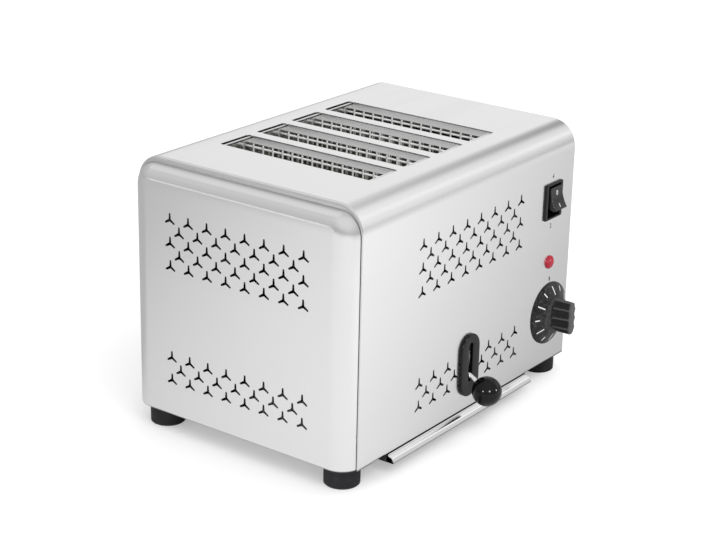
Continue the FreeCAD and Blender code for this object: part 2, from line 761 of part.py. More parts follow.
def ribbon(x, sign):
    """One heating ribbon: level passes to and fro on a board's face, joined at alternate ends."""
    passes = int(val.ribbon_passes)
    step = (val.board_height - 2 * val.ribbon_margin - val.ribbon_wide) / (passes - 1)
    low = floor + val.board_bottom + val.ribbon_margin
    near = chamber_front + val.ribbon_margin
    length = chamber_length - 2 * val.ribbon_margin
    left = x + val.board_thick / 2 if sign > 0 else x - val.board_thick / 2 - val.ribbon_thick
    pieces = []
    for k in range(passes):
        pieces.append(Part.makeBox(val.ribbon_thick, length, val.ribbon_wide,
                                   FreeCAD.Vector(left, near, low + k * step)))
        if k + 1 < passes:
            y = near if k % 2 else near + length - val.ribbon_wide
            pieces.append(Part.makeBox(val.ribbon_thick, val.ribbon_wide, step + val.ribbon_wide,
                                       FreeCAD.Vector(left, y, low + k * step)))
    return pieces[0].fuse(pieces[1:]).removeSplitter()


def guard_grid(middle, sign):
    """Welded wire grid on one side of a slot: level rails with upright wires on their bread side."""
    rail_x = middle + sign * (val.slot_width / 2 - val.guard_inset)
    wire_x = rail_x - sign * (val.guard_rail + 0.5 * val.guard_wire)
    rails = int(val.guard_rails)
    wires = int(val.guard_wires)
    low = val.guard_bottom + val.guard_end
    high = val.guard_top - val.guard_end
    pieces = []
    for k in range(rails):
        z = floor + low + (high - low) * k / (rails - 1)
        pieces.append(Part.makeCylinder(val.guard_rail, chamber_length,
                                        FreeCAD.Vector(rail_x, chamber_front, z),
                                        FreeCAD.Vector(0, 1, 0)))
    for k in range(wires):
        y = chamber_front + chamber_length * (k + 0.5) / wires
        pieces.append(Part.makeCylinder(val.guard_wire, val.guard_top - val.guard_bottom,
                                        FreeCAD.Vector(wire_x, y, floor + val.guard_bottom)))
    return pieces[0].fuse(pieces[1:])


BAR_FRONT = "(%s - steel - bar_gap - bar_thick)" % CHAMBER_FRONT
BAR_BACK = "(%s + steel + bar_gap)" % CHAMBER_BACK


def make_carriage():
    """Bread racks on two cross bars, which slide on guide rods and are lifted by two springs."""
    bar_low = FLOOR + " + rack_z - bar_depth"
    first = "(slot_x - 1.5 * slot_pitch - bar_margin)"
    for end, bar_y, rod_y, near in (
            ("front", BAR_FRONT, "(%s - rod_gap)" % CHAMBER_FRONT, "%s - rod_gap" % CHAMBER_FRONT),
            ("back", BAR_BACK, "(%s + rod_gap)" % CHAMBER_BACK, BAR_BACK)):
        bar = box("bar_%s_strip" % end, (first, bar_y, bar_low),
                  ("3 * slot_pitch + 2 * bar_margin", "bar_thick", "bar_depth"))
        bush = rod("bar_%s_bush" % end, ("rod_x", rod_y, bar_low), "z", "bush_radius", "bush_height")
        web = box("bar_%s_web" % end, ("rod_x - steel", near, bar_low),
                  ("2 * steel", "rod_gap - steel - bar_gap", "bush_height"))
        lug = box("bar_%s_lug" % end, ("rod_x", near, FLOOR + " + lug_z"),
                  ("lug_x + spring_radius", "rod_gap - steel - bar_gap", "bracket_thick"))
        lug_end = rod("bar_%s_lug_end" % end, ("rod_x + lug_x", rod_y, FLOOR + " + lug_z"), "z",
                      "spring_radius + steel", "bracket_thick")
        lug_bush = rod("bar_%s_lug_bush" % end, ("rod_x", rod_y, FLOOR + " + lug_z"), "z", "bush_radius",
                       "bracket_thick")
        bore = rod("bar_%s_bore" % end, ("rod_x", rod_y, FLOOR), "z", "rod_radius + rod_play", "rod_height")
        whole = joined("carriage_%s_parts" % end, [bar, bush, web, lug, lug_end, lug_bush])
        node(less("carriage_bar_" + end, whole, [bore]), "carriage_bar_" + end)
        node(rod("guide_rod_" + end, ("rod_x", rod_y, BASE_TOP), "z", "rod_radius", "rod_height"),
             "guide_rod_" + end)

        wall = CHAMBER_FRONT + " - steel" if end == "front" else CHAMBER_BACK + " + steel"
        depth = "rod_gap - steel + bracket_reach"
        start = wall + " - (%s)" % depth if end == "front" else wall
        shelf = box("bracket_%s_shelf" % end, ("rod_x - bush_radius - steel", start,
                                               FLOOR + " + bracket_z"),
                    ("bush_radius + lug_x + spring_radius + 3 * steel", depth, "bracket_thick"))
        tab_y = wall + " - bracket_thick" if end == "front" else wall
        tab = box("bracket_%s_tab" % end, ("rod_x - bush_radius - steel", tab_y, FLOOR + " + bracket_z"),
                  ("bush_radius + lug_x + spring_radius + 3 * steel", "bracket_thick", "bush_height"))
        eye = rod("bracket_%s_eye" % end, ("rod_x", rod_y, FLOOR + " + bracket_z - steel"), "z",
                  "rod_radius + rod_play",
                  "bracket_thick + 2 * steel")
        node(less("rod_bracket_" + end, joined("bracket_%s_parts" % end, [shelf, tab]), [eye]),
             "rod_bracket_" + end)

        spring_low = FLOOR + " + lug_z + bracket_thick + spring_end_gap"
        spring_length = "bracket_z - lug_z - bracket_thick - 2 * spring_end_gap"
        coil = rod("spring_%s_outside" % end, ("rod_x + lug_x", rod_y, spring_low), "z", "spring_radius",
                   spring_length)
        core = rod("spring_%s_inside" % end, ("rod_x + lug_x", rod_y, spring_low + " - steel"), "z",
                   "spring_radius - spring_wire", spring_length + " + 2 * steel")
        node(less("return_spring_" + end, coil, [core]), "return_spring_" + end)

    rack_length = CHAMBER_LENGTH + " + 2 * (steel + bar_gap + bar_thick)"
    for i in range(4):
        node(box("bread_rack_%d" % (i + 1),
                 ("slot_x + (%.1f) * slot_pitch - rack_width / 2" % (i - 1.5), BAR_FRONT,
                  FLOOR + " + rack_z"),
                 ("rack_width", rack_length, "rack_thick")), "bread_rack_%d" % (i + 1))

    stops = []
    for i, x in enumerate((first, first + " + 3 * slot_pitch + 2 * bar_margin - stop_width")):
        for end, y in (("front", BAR_FRONT), ("back", BAR_BACK)):
            stops.append(box("stop_%s_%d" % (end, i + 1), (x, y + " - steel", BASE_TOP),
                             ("stop_width", "bar_thick + 2 * steel",
                              "rack_z - bar_depth - steel - base_thick - stop_gap")))
    node(group("carriage_stops", stops), "carriage_stops")


def make_lever():
    """Chromed lever arm with its ball, and the black plate that the arm runs in."""
    bar_face = chamber_front - val.steel - val.bar_gap - val.bar_thick
    bend = FreeCAD.Vector(val.lever_x, front, floor + val.lever_z)
    ball = FreeCAD.Vector(val.lever_x, front - val.ball_reach, floor + val.ball_z)
    slope = (ball - bend).normalize()
    tip = ball - slope * (val.ball_radius - val.arm_depth - 2)
    level = Part.makeCylinder(val.arm_radius, bar_face - front, bend, FreeCAD.Vector(0, 1, 0))
    knee = Part.makeSphere(val.arm_radius, bend)
    sloped = Part.makeCylinder(val.arm_radius, (tip - bend).Length, bend, slope)
    node(shape_node("lever_arm", level.fuse([knee, sloped])), "lever_arm")
    bore = Part.makeCylinder(val.arm_radius + val.ball_bore_play, val.ball_radius + val.arm_depth, tip,
                             slope * -1)
    flat = tip + slope * 0.3
    blind = Part.makeCylinder(val.arm_radius + val.ball_bore_play, val.ball_radius + val.arm_depth, flat,
                              slope * -1)
    round_knob = Part.makeSphere(val.ball_radius, ball).cut(bore.fuse(blind))
    node(shape_node("ball_knob", round_knob), "ball_knob")

    low = "(foot_height + lever_plate_bottom + lever_plate_width / 2)"
    high = "(foot_height + lever_plate_top - lever_plate_width / 2)"
    y = FRONT + " - lever_plate_thick"
    middle = box("lever_plate_middle", ("lever_x - lever_plate_width / 2", y, low),
                 ("lever_plate_width", "lever_plate_thick",
                  "lever_plate_top - lever_plate_bottom - lever_plate_width"))
    ends = [rod("lever_plate_end_%d" % i, ("lever_x", y, z), "y", "lever_plate_width / 2",
                "lever_plate_thick")
            for i, z in enumerate((low, high))]
    blank = joined("lever_plate_blank", [middle] + ends)
    rim_y = front - val.lever_plate_thick
    soft = eased("lever_plate_soft", blank, [(lambda e: lies(e, y=rim_y), 0.8, 0.8)])
    slot_low = "(foot_height + lever_slot_bottom + lever_slot_width / 2)"
    slot_high = "(foot_height + lever_slot_top - lever_slot_width / 2)"
    slot = box("lever_slot_middle", ("lever_x - lever_slot_width / 2", y + " - steel", slot_low),
               ("lever_slot_width", "lever_plate_thick + 2 * steel",
                "lever_slot_top - lever_slot_bottom - lever_slot_width"))
    slot_ends = [rod("lever_slot_end_%d" % i, ("lever_x", y + " - steel", z), "y", "lever_slot_width / 2",
                     "lever_plate_thick + 2 * steel") for i, z in enumerate((slot_low, slot_high))]
    node(less("lever_plate", soft, [slot] + slot_ends), "lever_plate")


def make_switch():
    """Rocker switch: a housing with its bezel, a rocker on two trunnions and four blade terminals."""
    z = "(foot_height + switch_z)"
    bezel = box("switch_bezel", ("control_x - bezel_width / 2", FRONT + " - bezel_thick",
                                 z + " - bezel_height / 2"),
                ("bezel_width", "bezel_thick", "bezel_height"))
    soft = eased("switch_bezel_soft", bezel, [
        (lambda e: lies(e, y=front - val.bezel_thick) or runs(e, "y"), 0.6, 0.6)])
    case = box("switch_case", ("control_x - housing_width / 2", FRONT, z + " - housing_height / 2"),
               ("housing_width", "housing_depth", "housing_height"))
    pocket = box("switch_pocket", ("control_x - rocker_width / 2 - rocker_play",
                                   FRONT + " - 2 * bezel_thick", z + " - pocket_height / 2"),
                 ("rocker_width + 2 * rocker_play", "2 * bezel_thick + pocket_depth", "pocket_height"))
    reach = "rocker_width / 2 + rocker_play + trunnion_length + trunnion_play"
    pins = rod("switch_bores", ("control_x - (%s)" % reach, FRONT + " + rocker_pivot_y", z), "x",
               "trunnion_radius + trunnion_play", "2 * (%s)" % reach)
    node(less("switch_housing", joined("switch_case_and_bezel", [soft, case]), [pocket, pins]),
         "switch_housing")

    tilt = math.radians(val.rocker_tilt)

    def tilted(y, up):
        """A rocker point turned about the pivot, as a pair of formulas."""
        across = "(%s) * %.6f + (%s) * %.6f" % (y, math.cos(tilt), up, math.sin(tilt))
        height = "(%s) * %.6f - (%s) * %.6f" % (up, math.cos(tilt), y, math.sin(tilt))
        return across, height

    # the face dips between its two ends, and the back narrows towards the hub
    hub = "2 * trunnion_radius"
    face = [("-rocker_rise", "rocker_half"),
            ("-rocker_dip - rocker_bow", "rocker_half / 3"),
            ("-rocker_dip", "0"),
            ("-rocker_dip - rocker_bow", "-rocker_half / 3"),
            ("-rocker_rise", "-rocker_half")]
    behind = [("-rocker_dip + rocker_end", "-rocker_half"),
              ("-rocker_dip + rocker_back", "-rocker_half * 2 / 3"),
              (hub, "-rocker_half / 3"),
              (hub, "rocker_half / 3"),
              ("-rocker_dip + rocker_back", "rocker_half * 2 / 3"),
              ("-rocker_dip + rocker_end", "rocker_half")]
    wings = folded("rocker_wings", [tilted(*point) for point in face + behind], "rocker_width", "x",
                   ("control_x - rocker_width / 2", FRONT + " + rocker_pivot_y", z))
    trunnions = rod("rocker_trunnions", ("control_x - rocker_width / 2 - rocker_play - trunnion_length",
                                         FRONT + " + rocker_pivot_y", z), "x", "trunnion_radius",
                    "rocker_width + 2 * (rocker_play + trunnion_length)")
    node(joined("switch_rocker", [wings, trunnions]), "switch_rocker")
    blades = []
    for i in range(2):
        for j in range(2):
            blades.append(box("switch_blade_%d" % (2 * i + j + 1),
                              ("control_x + (%d) * housing_width / 4 - terminal_thick / 2" % (2 * i - 1),
                               FRONT + " + housing_depth",
                               z + " + (%d) * housing_height / 4 - terminal_width / 2" % (2 * j - 1)),
                              ("terminal_thick", "terminal_length", "terminal_width")))
    node(group("switch_terminals", blades), "switch_terminals")


def make_lamp_and_timer():
    spot = ("control_x", FRONT, "foot_height + lamp_z")
    lens = [("0", "-lamp_stem_length"), ("lamp_stem", "-lamp_stem_length"),
            ("lamp_stem", "0"), ("lamp_radius", "0"), ("lamp_radius", "lamp_rim"),
            ("lamp_radius * 0.86", "lamp_rim + lamp_dome * 0.62"),
            ("lamp_radius * 0.5", "lamp_rim + lamp_dome * 0.93"), ("0", "lamp_rim + lamp_dome")]
    node(turned("lamp_lens", lens, "-y", spot), "lamp_lens")
    body = [("0", "-lamp_stem_length - lamp_body_length"), ("lamp_body_radius",
                                                            "-lamp_stem_length - lamp_body_length"),
            ("lamp_body_radius", "-lamp_stem_length"), ("0", "-lamp_stem_length")]
    node(turned("lamp_body", body, "-y", spot), "lamp_body")

    z = "(foot_height + timer_z)"
    case = box("timer_case", ("control_x - timer_size / 2", FRONT + " + steel + timer_bush_length",
                              z + " - timer_size / 2"),
               ("timer_size", "timer_depth", "timer_size"))
    bush = rod("timer_bush", ("control_x", FRONT + " + steel", z), "y", "timer_bush_radius",
               "timer_bush_length + 2 * steel")
    bore = rod("timer_bore", ("control_x", FRONT, z), "y", "shaft_radius + shaft_play",
               "steel + timer_bush_length + shaft_seat + shaft_play")
    node(less("timer_body", joined("timer_case_and_bush", [case, bush]), [bore]), "timer_body")
    node(rod("timer_shaft", ("control_x", FRONT + " - knob_reach + knob_cap", z), "y", "shaft_radius",
             "knob_reach - knob_cap + steel + timer_bush_length + shaft_seat"), "timer_shaft")

    rise = "(knob_gap + skirt_rim + skirt_rise)"
    skirt = [("0", "knob_gap"), ("knob_hub", "knob_gap"), ("knob_hub", rise + " - skirt_wall"),
             ("skirt_top_radius - skirt_wall", rise + " - skirt_wall"),
             ("skirt_radius - skirt_wall", "knob_gap + skirt_wall / 2"),
             ("skirt_radius - skirt_wall", "knob_gap"),
             ("skirt_radius", "knob_gap"), ("skirt_radius", "knob_gap + skirt_rim"),
             ("skirt_top_radius", rise),
             ("0", rise)]
    dial = turned("knob_skirt", skirt, "-y", ("control_x", FRONT, z))
    bore = rod("knob_bore", ("control_x", FRONT + " - knob_reach + knob_cap - shaft_play", z), "y",
               "shaft_radius + shaft_play", "knob_reach - knob_cap + shaft_play")
    whole = joined("knob_whole", [dial, shape_node("knob_grip", knob_grip())])
    node(less("timer_knob", whole, [bore]), "timer_knob")


def knob_grip():
    """The bar across the knob: it narrows from a bowed foot to a flat end, with grooves down each side."""
    rows = [(-1.0, 1.3), (-0.88, 1.0), (-0.66, 0.0), (-0.53, 0.0), (-0.3, 1.0), (-0.07, 0.0),
            (0.07, 0.0), (0.3, 1.0), (0.53, 0.0), (0.66, 0.0), (0.88, 1.0), (1.0, 1.3)]
    middle_z = floor + val.timer_z

    def section(depth, half_width, half_height, bow):
        """One outline of the bar: half width x (1 - bow x height squared), less the grooves."""
        side = [(half_width * (1 - bow * up * up) - notch * val.grip_groove, half_height * up)
                for up, notch in rows]
        corners = side + [(-across, up) for across, up in reversed(side)]
        points = [FreeCAD.Vector(val.control_x + across, front - depth, middle_z + up)
                  for across, up in corners]
        return Part.makePolygon(points + points[:1])

    foot = val.knob_gap + val.skirt_rim + val.skirt_rise - val.skirt_wall / 2
    height = val.grip_height / 2
    sections = [section(foot, val.grip_foot_half, height, val.grip_foot_bow),
                section(val.knob_reach - val.grip_ease, val.grip_end_half, height, val.grip_end_bow),
                section(val.knob_reach, val.grip_end_half - val.grip_ease, height - val.grip_ease,
                        val.grip_end_bow)]
    return Part.makeLoft(sections, True, True)


def make_inlet():
    """Cable gland at the back, with no cable in it, and the terminal block behind it."""
    gland = [("gland_bore", "-gland_depth"), ("gland_stem", "-gland_depth"),
             ("gland_stem", "0"), ("gland_flange", "0"), ("gland_flange", "gland_flange_thick"),
             ("gland_nose + steel", "gland_flange_thick + steel"),
             ("gland_nose", "gland_reach"), ("gland_bore", "gland_reach")]
    node(turned("cable_gland", gland, "y", ("inlet_x", BACK, "foot_height + inlet_z")), "cable_gland")
    node(box("terminal_block", ("inlet_x - block_width / 2", BACK + " - block_inset - block_depth",
                                BASE_TOP),
             ("block_width", "block_depth", "block_height")), "terminal_block")


make_wrap()
make_caps()
make_base()
make_tray()
make_chamber()
make_carriage()
make_lever()
make_switch()
make_lamp_and_timer()
make_inlet()

doc.recompute()
faults = []
for thing in doc.Objects:
    if "Invalid" in thing.State or "Error" in thing.State:
        faults.append(thing.Name + " has state " + ", ".join(thing.State))
for piece in nodes:
    if piece.Shape.isNull() or not piece.Shape.isValid() or not piece.Shape.Solids:
        faults.append(piece.Label + " has no valid solid")
if faults:
    raise RuntimeError("; ".join(faults))

os.makedirs("parts", exist_ok=True)
for piece in nodes:
    piece.Shape.exportStep("parts/%s.step" % piece.Label)
print(len(nodes), "nodes written")
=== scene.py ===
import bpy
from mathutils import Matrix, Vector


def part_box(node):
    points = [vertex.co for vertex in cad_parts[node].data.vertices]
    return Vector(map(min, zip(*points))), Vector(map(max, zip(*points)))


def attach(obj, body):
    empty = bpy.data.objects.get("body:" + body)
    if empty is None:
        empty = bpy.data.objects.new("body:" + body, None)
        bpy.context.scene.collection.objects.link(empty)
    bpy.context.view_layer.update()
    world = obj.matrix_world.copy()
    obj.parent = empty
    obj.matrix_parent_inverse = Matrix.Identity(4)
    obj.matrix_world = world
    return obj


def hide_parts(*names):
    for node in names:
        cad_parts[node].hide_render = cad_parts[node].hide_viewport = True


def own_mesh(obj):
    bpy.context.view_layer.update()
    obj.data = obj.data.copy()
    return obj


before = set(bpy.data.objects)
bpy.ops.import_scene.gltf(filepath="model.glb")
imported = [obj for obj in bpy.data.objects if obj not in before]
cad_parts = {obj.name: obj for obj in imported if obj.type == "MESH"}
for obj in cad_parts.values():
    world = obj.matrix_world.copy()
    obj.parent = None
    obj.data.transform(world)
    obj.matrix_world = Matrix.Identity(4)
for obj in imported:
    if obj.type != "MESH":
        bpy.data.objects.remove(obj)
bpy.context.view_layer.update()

from math import acos, asin, cos, degrees, pi, radians, sin, tan

import bmesh
import bpy
import numpy as np
from mathutils import Matrix, Vector
from mathutils.geometry import delaunay_2d_cdt

# A four-slot commercial toaster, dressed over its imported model.
# Shapes are worked out in millimetres and become metres when their mesh is made.
# +X is to the right of someone facing the controls, -Y towards them, +Z up.

MM = 0.001
QUARTER = pi / 2


def span(node):
    """A node's lowest and highest corners in millimetres."""
    low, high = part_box(node)
    return np.array(low) / MM, np.array(high) / MM


def middle(node):
    low, high = span(node)
    return (low + high) / 2


# Driving places, read from the frame
wrap_low, wrap_high = span("outer_wrap")
cap_low, cap_high = span("left_side_cap")
FRONT, BACK = wrap_low[1], wrap_high[1]
BOTTOM, TOP = wrap_low[2], wrap_high[2]
SEAM = wrap_high[0]
SIDE = -cap_low[0]
CAP_TOP = cap_high[2]
CAP_FLANGE = cap_high[0] + SIDE
STEEL = cap_low[1] - FRONT
CONTROL_X = middle("timer_shaft")[0]
TIMER_Z = middle("timer_shaft")[2]
SWITCH_Z = middle("switch_housing")[2]
LAMP_Z = middle("lamp_lens")[2]
LEVER_X = middle("lever_plate")[0]
SLOTS_X = [middle("bread_guard_%d" % number)[0] for number in range(1, 5)]
MID_Y = (FRONT + BACK) / 2
TRAY_BOTTOM = span("crumb_tray")[0][2]

# Sheet metal. The guard is a narrow strip beside each bend, which keeps the flats' shading flat
GUARD = 0.4
WRAP_BEND = 22.0
LIP_DROP = 4.65
LIP_ROUND = 2.4
EDGE_EASE = 0.7
HEM_BEND = 1.2
HEM_REACH = 13.0
WRAP_HEM_END = SEAM - 18.5
CAP_CORNER = 18.5
CAP_ROUND = 17.0
CAP_TOP_ROUND = 9.6
CREASE_TILT = radians(16.0)
CREASE_BEND = 3.0
CREASE_SPAN = 0.15
LEAN = radians(4.5)
LEAN_REACH = 5.8

# Bread slots and ventilation stars
SLOT_WIDTH, SLOT_LENGTH, SLOT_START, SLOT_CORNER = 34.0, 146.0, 34.5, 2.0
STAR_ARM, STAR_TIP, STAR_WEB = 5.3, 1.55, 1.3
STAR_ROW = 9.46
FRONT_STARS = {"pitch": 19.5, "upper": 156.7, "lower": 43.9}
SIDE_STARS = {"pitch": 18.4, "upper": 162.2, "lower": 49.1}
BACK_STARS_DROP, BACK_STARS_FLOOR = 5.5, 90.0

# Holes behind the controls: widths and heights, or radii
SWITCH_HOLE = (24.2, 29.4)
LAMP_HOLE, TIMER_HOLE, GLAND_HOLE = 5.1, 4.5, 7.1
LEVER_HOLE_WIDE, LEVER_HOLE_HIGH, LEVER_HOLE_UP = 8.0, 33.0, 40.5

# Timer knob. The grooves' pitch is a share of the grip's half height
SKIRT_RADIUS, SKIRT_RIM = 26.8, 3.0
SKIRT_TOP_RADIUS, SKIRT_TOP = 15.6, 9.2
GRIP_HALF_HEIGHT = 13.7
GRIP_FOOT, GRIP_END = 8.3, 25.5
GROOVE = 0.6


class Shape:
    """Points and faces gathered piece by piece, in millimetres, before they become one mesh."""

    def __init__(self):
        self.points = []
        self.faces = []
        self.total = 0

    def add(self, points, faces):
        points = np.asarray(points, float).reshape(-1, 3)
        self.points.append(points)
        self.faces.extend((np.asarray(faces) + self.total).tolist())
        self.total += len(points)
        return self

    def grid(self, points, close_rows=False, close_columns=False):
        """A grid of points, rows by columns, joined by quads. It faces along column step x row step."""
        points = np.asarray(points)
        return self.add(points, grid_quads(*points.shape[:2], close_rows, close_columns))

    def mirrored(self):
        """The whole shape with left and right swapped, still facing outwards."""
        self.points = [p * (-1, 1, 1) for p in self.points]
        self.faces = [face[::-1] for face in self.faces]
        return self


def grid_quads(rows, columns, close_rows=False, close_columns=False):
    """Corner numbers of the quads between neighbouring rows and columns."""
    row, column = np.meshgrid(np.arange(rows if close_rows else rows - 1),
                              np.arange(columns if close_columns else columns - 1), indexing="ij")
    next_row, next_column = (row + 1) % rows, (column + 1) % columns
    corners = (row * columns + column, row * columns + next_column,
               next_row * columns + next_column, next_row * columns + column)
    return np.stack(corners, axis=-1).reshape(-1, 4)


def placed(name, data):
    """A new object with the given data, in the scene."""
    thing = bpy.data.objects.new(name, data)
    bpy.context.scene.collection.objects.link(thing)
    return thing


def finished(name, shape, body, material, stands_for=(), sharp=35.0, bevel=0.0, mirrored=True):
    """Turn a shape into a named piece that rides on a body, takes a slot and may stand for CAD nodes.

    A piece that isn't mirrored leaves no reflection in the steel."""
    mesh = bpy.data.meshes.new(name)
    mesh.from_pydata((np.concatenate(shape.points) * MM).tolist(), [], shape.faces)
    work = bmesh.new()
    work.from_mesh(mesh)
    bmesh.ops.remove_doubles(work, verts=work.verts, dist=1e-3 * MM)
    bmesh.ops.dissolve_degenerate(work, edges=work.edges, dist=1e-3 * MM)
    work.to_mesh(mesh)
    work.free()
    mesh.shade_smooth()
    mesh.set_sharp_from_angle(angle=radians(sharp))
    mesh.materials.append(material)
    thing = placed(name, mesh)
    if bevel:
        soft = thing.modifiers.new("soft_edges", "BEVEL")
        soft.width = bevel * MM
        soft.segments = 2
        soft.limit_method = "ANGLE"
        soft.angle_limit = radians(sharp)
        soft.harden_normals = True
    thing.visible_glossy = mirrored
    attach(thing, body)
    if stands_for:
        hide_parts(*stands_for)
    return thing


def full_turn(count):
    """Evenly spaced angles once round. The last one, which would be the first again, is left out."""
    return np.linspace(0, 2 * pi, count, endpoint=False)


def quarter_round(radius, steps):
    """Points on a quarter circle between two sides: how far in from the first side, how far below the second, and
    the angle turned, as radius x (1 - cos(angle)), radius x (1 - sin(angle)) and the angle."""
    return [(radius * (1 - cos(a)), radius * (1 - sin(a)), a) for a in np.linspace(0, QUARTER, steps)]


def upright(outline, y):
    """A flat outline's (x, z) points, stood up at a Y, which may change from point to point."""
    outline = np.asarray(outline, float)
    return np.column_stack([outline[:, 0], np.full(len(outline), y), outline[:, 1]])


def at_x(outline, x):
    """A flat outline's (y, z) points, put at an X, which may change from point to point."""
    outline = np.asarray(outline, float)
    return np.column_stack([np.full(len(outline), x), outline])


def rounded(corners, steps=6, closed=False):
    """A flat polyline whose corners are arcs. Each corner is across, up and the arc's radius.

    An arc touches both its sides: its centre lies on the corner's bisector, radius / sin(half the corner) away."""
    places = np.array([corner[:2] for corner in corners], float)
    count = len(places)
    line = []
    for k, (_, _, radius) in enumerate(corners):
        here = places[k]
        if radius <= 0 or (not closed and k in (0, count - 1)):
            line.append(here)
            continue
        before = places[k - 1] - here
        after = places[(k + 1) % count] - here
        before /= np.linalg.norm(before)
        after /= np.linalg.norm(after)
        half = acos(np.clip(before @ after, -1, 1)) / 2
        bisector = (before + after) / np.linalg.norm(before + after)
        centre = here + bisector * radius / sin(half)
        start = here + before * radius / tan(half) - centre
        end = here + after * radius / tan(half) - centre
        sweep = pi - 2 * half
        for share in np.linspace(0, 1, steps + 1):
            arc = (sin((1 - share) * sweep) * start + sin(share * sweep) * end) / sin(sweep)
            line.append(centre + arc)
    return np.array(line)


def arch(front, back, bottom, top, radius):
    """Rows of a bent sheet in Y and Z, up the front, over the top and down the back.

    Gives each row's place, its outward normal and its lift, which is 0 on the walls and 1 on top.
    Each bend is a quarter circle, with one more row just outside each end of it, so the flats stay flat."""
    turn = np.linspace(0, QUARTER, 15)
    facing = np.stack([-np.cos(turn), np.sin(turn)], 1)
    bend = (front + radius, top - radius) + radius * facing
    flat = radius + GUARD
    half = np.concatenate([[(front, bottom), (front, top - flat)], bend, [(front + flat, top)]])
    facing = np.concatenate([[(-1, 0), (-1, 0)], facing, [(0, 1)]])
    climb = np.concatenate([[0, 0], turn / QUARTER, [1]])
    places = np.concatenate([half, (half * (-1, 1) + (front + back, 0))[::-1]])
    return places, np.concatenate([facing, (facing * (-1, 1))[::-1]]), np.concatenate([climb, climb[::-1]])


def anticlockwise(loop):
    """The loop in the order that keeps its inside on the left: the one with a positive area."""
    loop = np.asarray(loop, float)
    after = np.roll(loop, -1, axis=0)
    return loop if (loop[:, 0] * after[:, 1] - after[:, 0] * loop[:, 1]).sum() > 0 else loop[::-1]


def holed(outline, holes):
    """Triangles that fill a flat outline but none of its holes, all of them anticlockwise."""
    loops = [anticlockwise(loop) for loop in [outline] + holes]
    ends = np.cumsum([0] + [len(loop) for loop in loops])
    faces = [list(range(a, b)) for a, b in zip(ends[:-1], ends[1:])]
    corners = [Vector(place) for loop in loops for place in loop]
    flat, _, triangles, _, _, owners = delaunay_2d_cdt(corners, [], faces, 1, 1e-5)
    kept = [triangle for triangle, owner in zip(triangles, owners) if list(owner) == [0]]
    return np.array([tuple(place) for place in flat]), np.array(kept)


def circle(x, z, radius):
    turn = full_turn(32)
    return np.stack([x + radius * np.cos(turn), z + radius * np.sin(turn)], 1)


def rectangle(x, z, width, height, radius):
    """A rectangle's outline with round corners, about its middle."""
    corners = [(x + a * width / 2, z + b * height / 2, radius) for a, b in ((-1, -1), (1, -1), (1, 1), (-1, 1))]
    return rounded(corners, 4, closed=True)


def star(x, z):
    """A three-armed ventilation star with one arm up: each arm has a blunt tip and meets the next in a notch."""
    corners = []
    for turn in np.radians([90, 210, 330]):
        along = np.array([cos(turn), sin(turn)])
        across = np.array([-along[1], along[0]]) * STAR_TIP / 2
        notch = turn + pi / 3
        corners += [along * STAR_ARM - across, along * (STAR_ARM + 0.25), along * STAR_ARM + across,
                    STAR_WEB * np.array([cos(notch), sin(notch)])]
    return np.array(corners) + (x, z)


def star_field(middle_x, pitch, upper, lower):
    """Five upper rows and three lower ones, every other row one star shorter and half a pitch across."""
    stars = []
    for top, rows in ((upper, 5), (lower, 3)):
        for row in range(rows):
            columns = 8 - row % 2
            for column in range(columns):
                stars.append(star(middle_x + (column - (columns - 1) / 2) * pitch, BOTTOM + top - row * STAR_ROW))
    return stars


class Skin:
    """Outer skin of a sheet part: points, normals, triangles and wall thickness, gathered zone by zone."""

    def __init__(self):
        self.points, self.normals, self.triangles, self.walls = [], [], [], []
        self.total = 0

    def add(self, points, normals, faces, thickness=STEEL):
        points = np.asarray(points, float).reshape(-1, 3)
        faces = np.asarray(faces)
        if faces.shape[1] == 4:
            faces = np.concatenate([faces[:, [0, 1, 2]], faces[:, [0, 2, 3]]])
        self.points.append(points)
        self.normals.append(np.broadcast_to(np.asarray(normals, float), points.shape).reshape(-1, 3))
        self.walls.append(np.broadcast_to(np.asarray(thickness, float).reshape(-1), (len(points),)))
        self.triangles.append(faces + self.total)
        self.total += len(points)

    def solid(self):
        """The skin made solid: the same skin set back along its normals, and walls along every open edge."""
        points, normals, thickness = (np.concatenate(part) for part in (self.points, self.normals, self.walls))
        _, first, number = np.unique(np.round(points, 3), axis=0, return_index=True, return_inverse=True)
        points, normals, thickness = points[first], normals[first], thickness[first]
        triangles = number.reshape(-1)[np.concatenate(self.triangles)]
        triangles = triangles[(triangles != np.roll(triangles, 1, axis=1)).all(axis=1)]
        inner = points - normals * thickness[:, None]
        total = len(points)
        edges = np.concatenate([triangles[:, [0, 1]], triangles[:, [1, 2]], triangles[:, [2, 0]]]).tolist()
        known = set(map(tuple, edges))
        walls = [(b, a, a + total, b + total) for a, b in edges if (b, a) not in known]
        shape = Shape().add(np.concatenate([points, inner]), triangles)
        shape.faces += (triangles[:, ::-1] + total).tolist() + walls
        return shape


# A hem's rows, outside to inside: how far in, the height, and how far the sheet has turned under
HEM_TOP = BOTTOM + HEM_BEND + GUARD
HEM_ROWS = [(0.0, HEM_TOP, 0.0)] + [(depth, BOTTOM + above, a) for depth, above, a in quarter_round(HEM_BEND, 6)]
HEM_ROWS.append((HEM_REACH, BOTTOM, QUARTER))


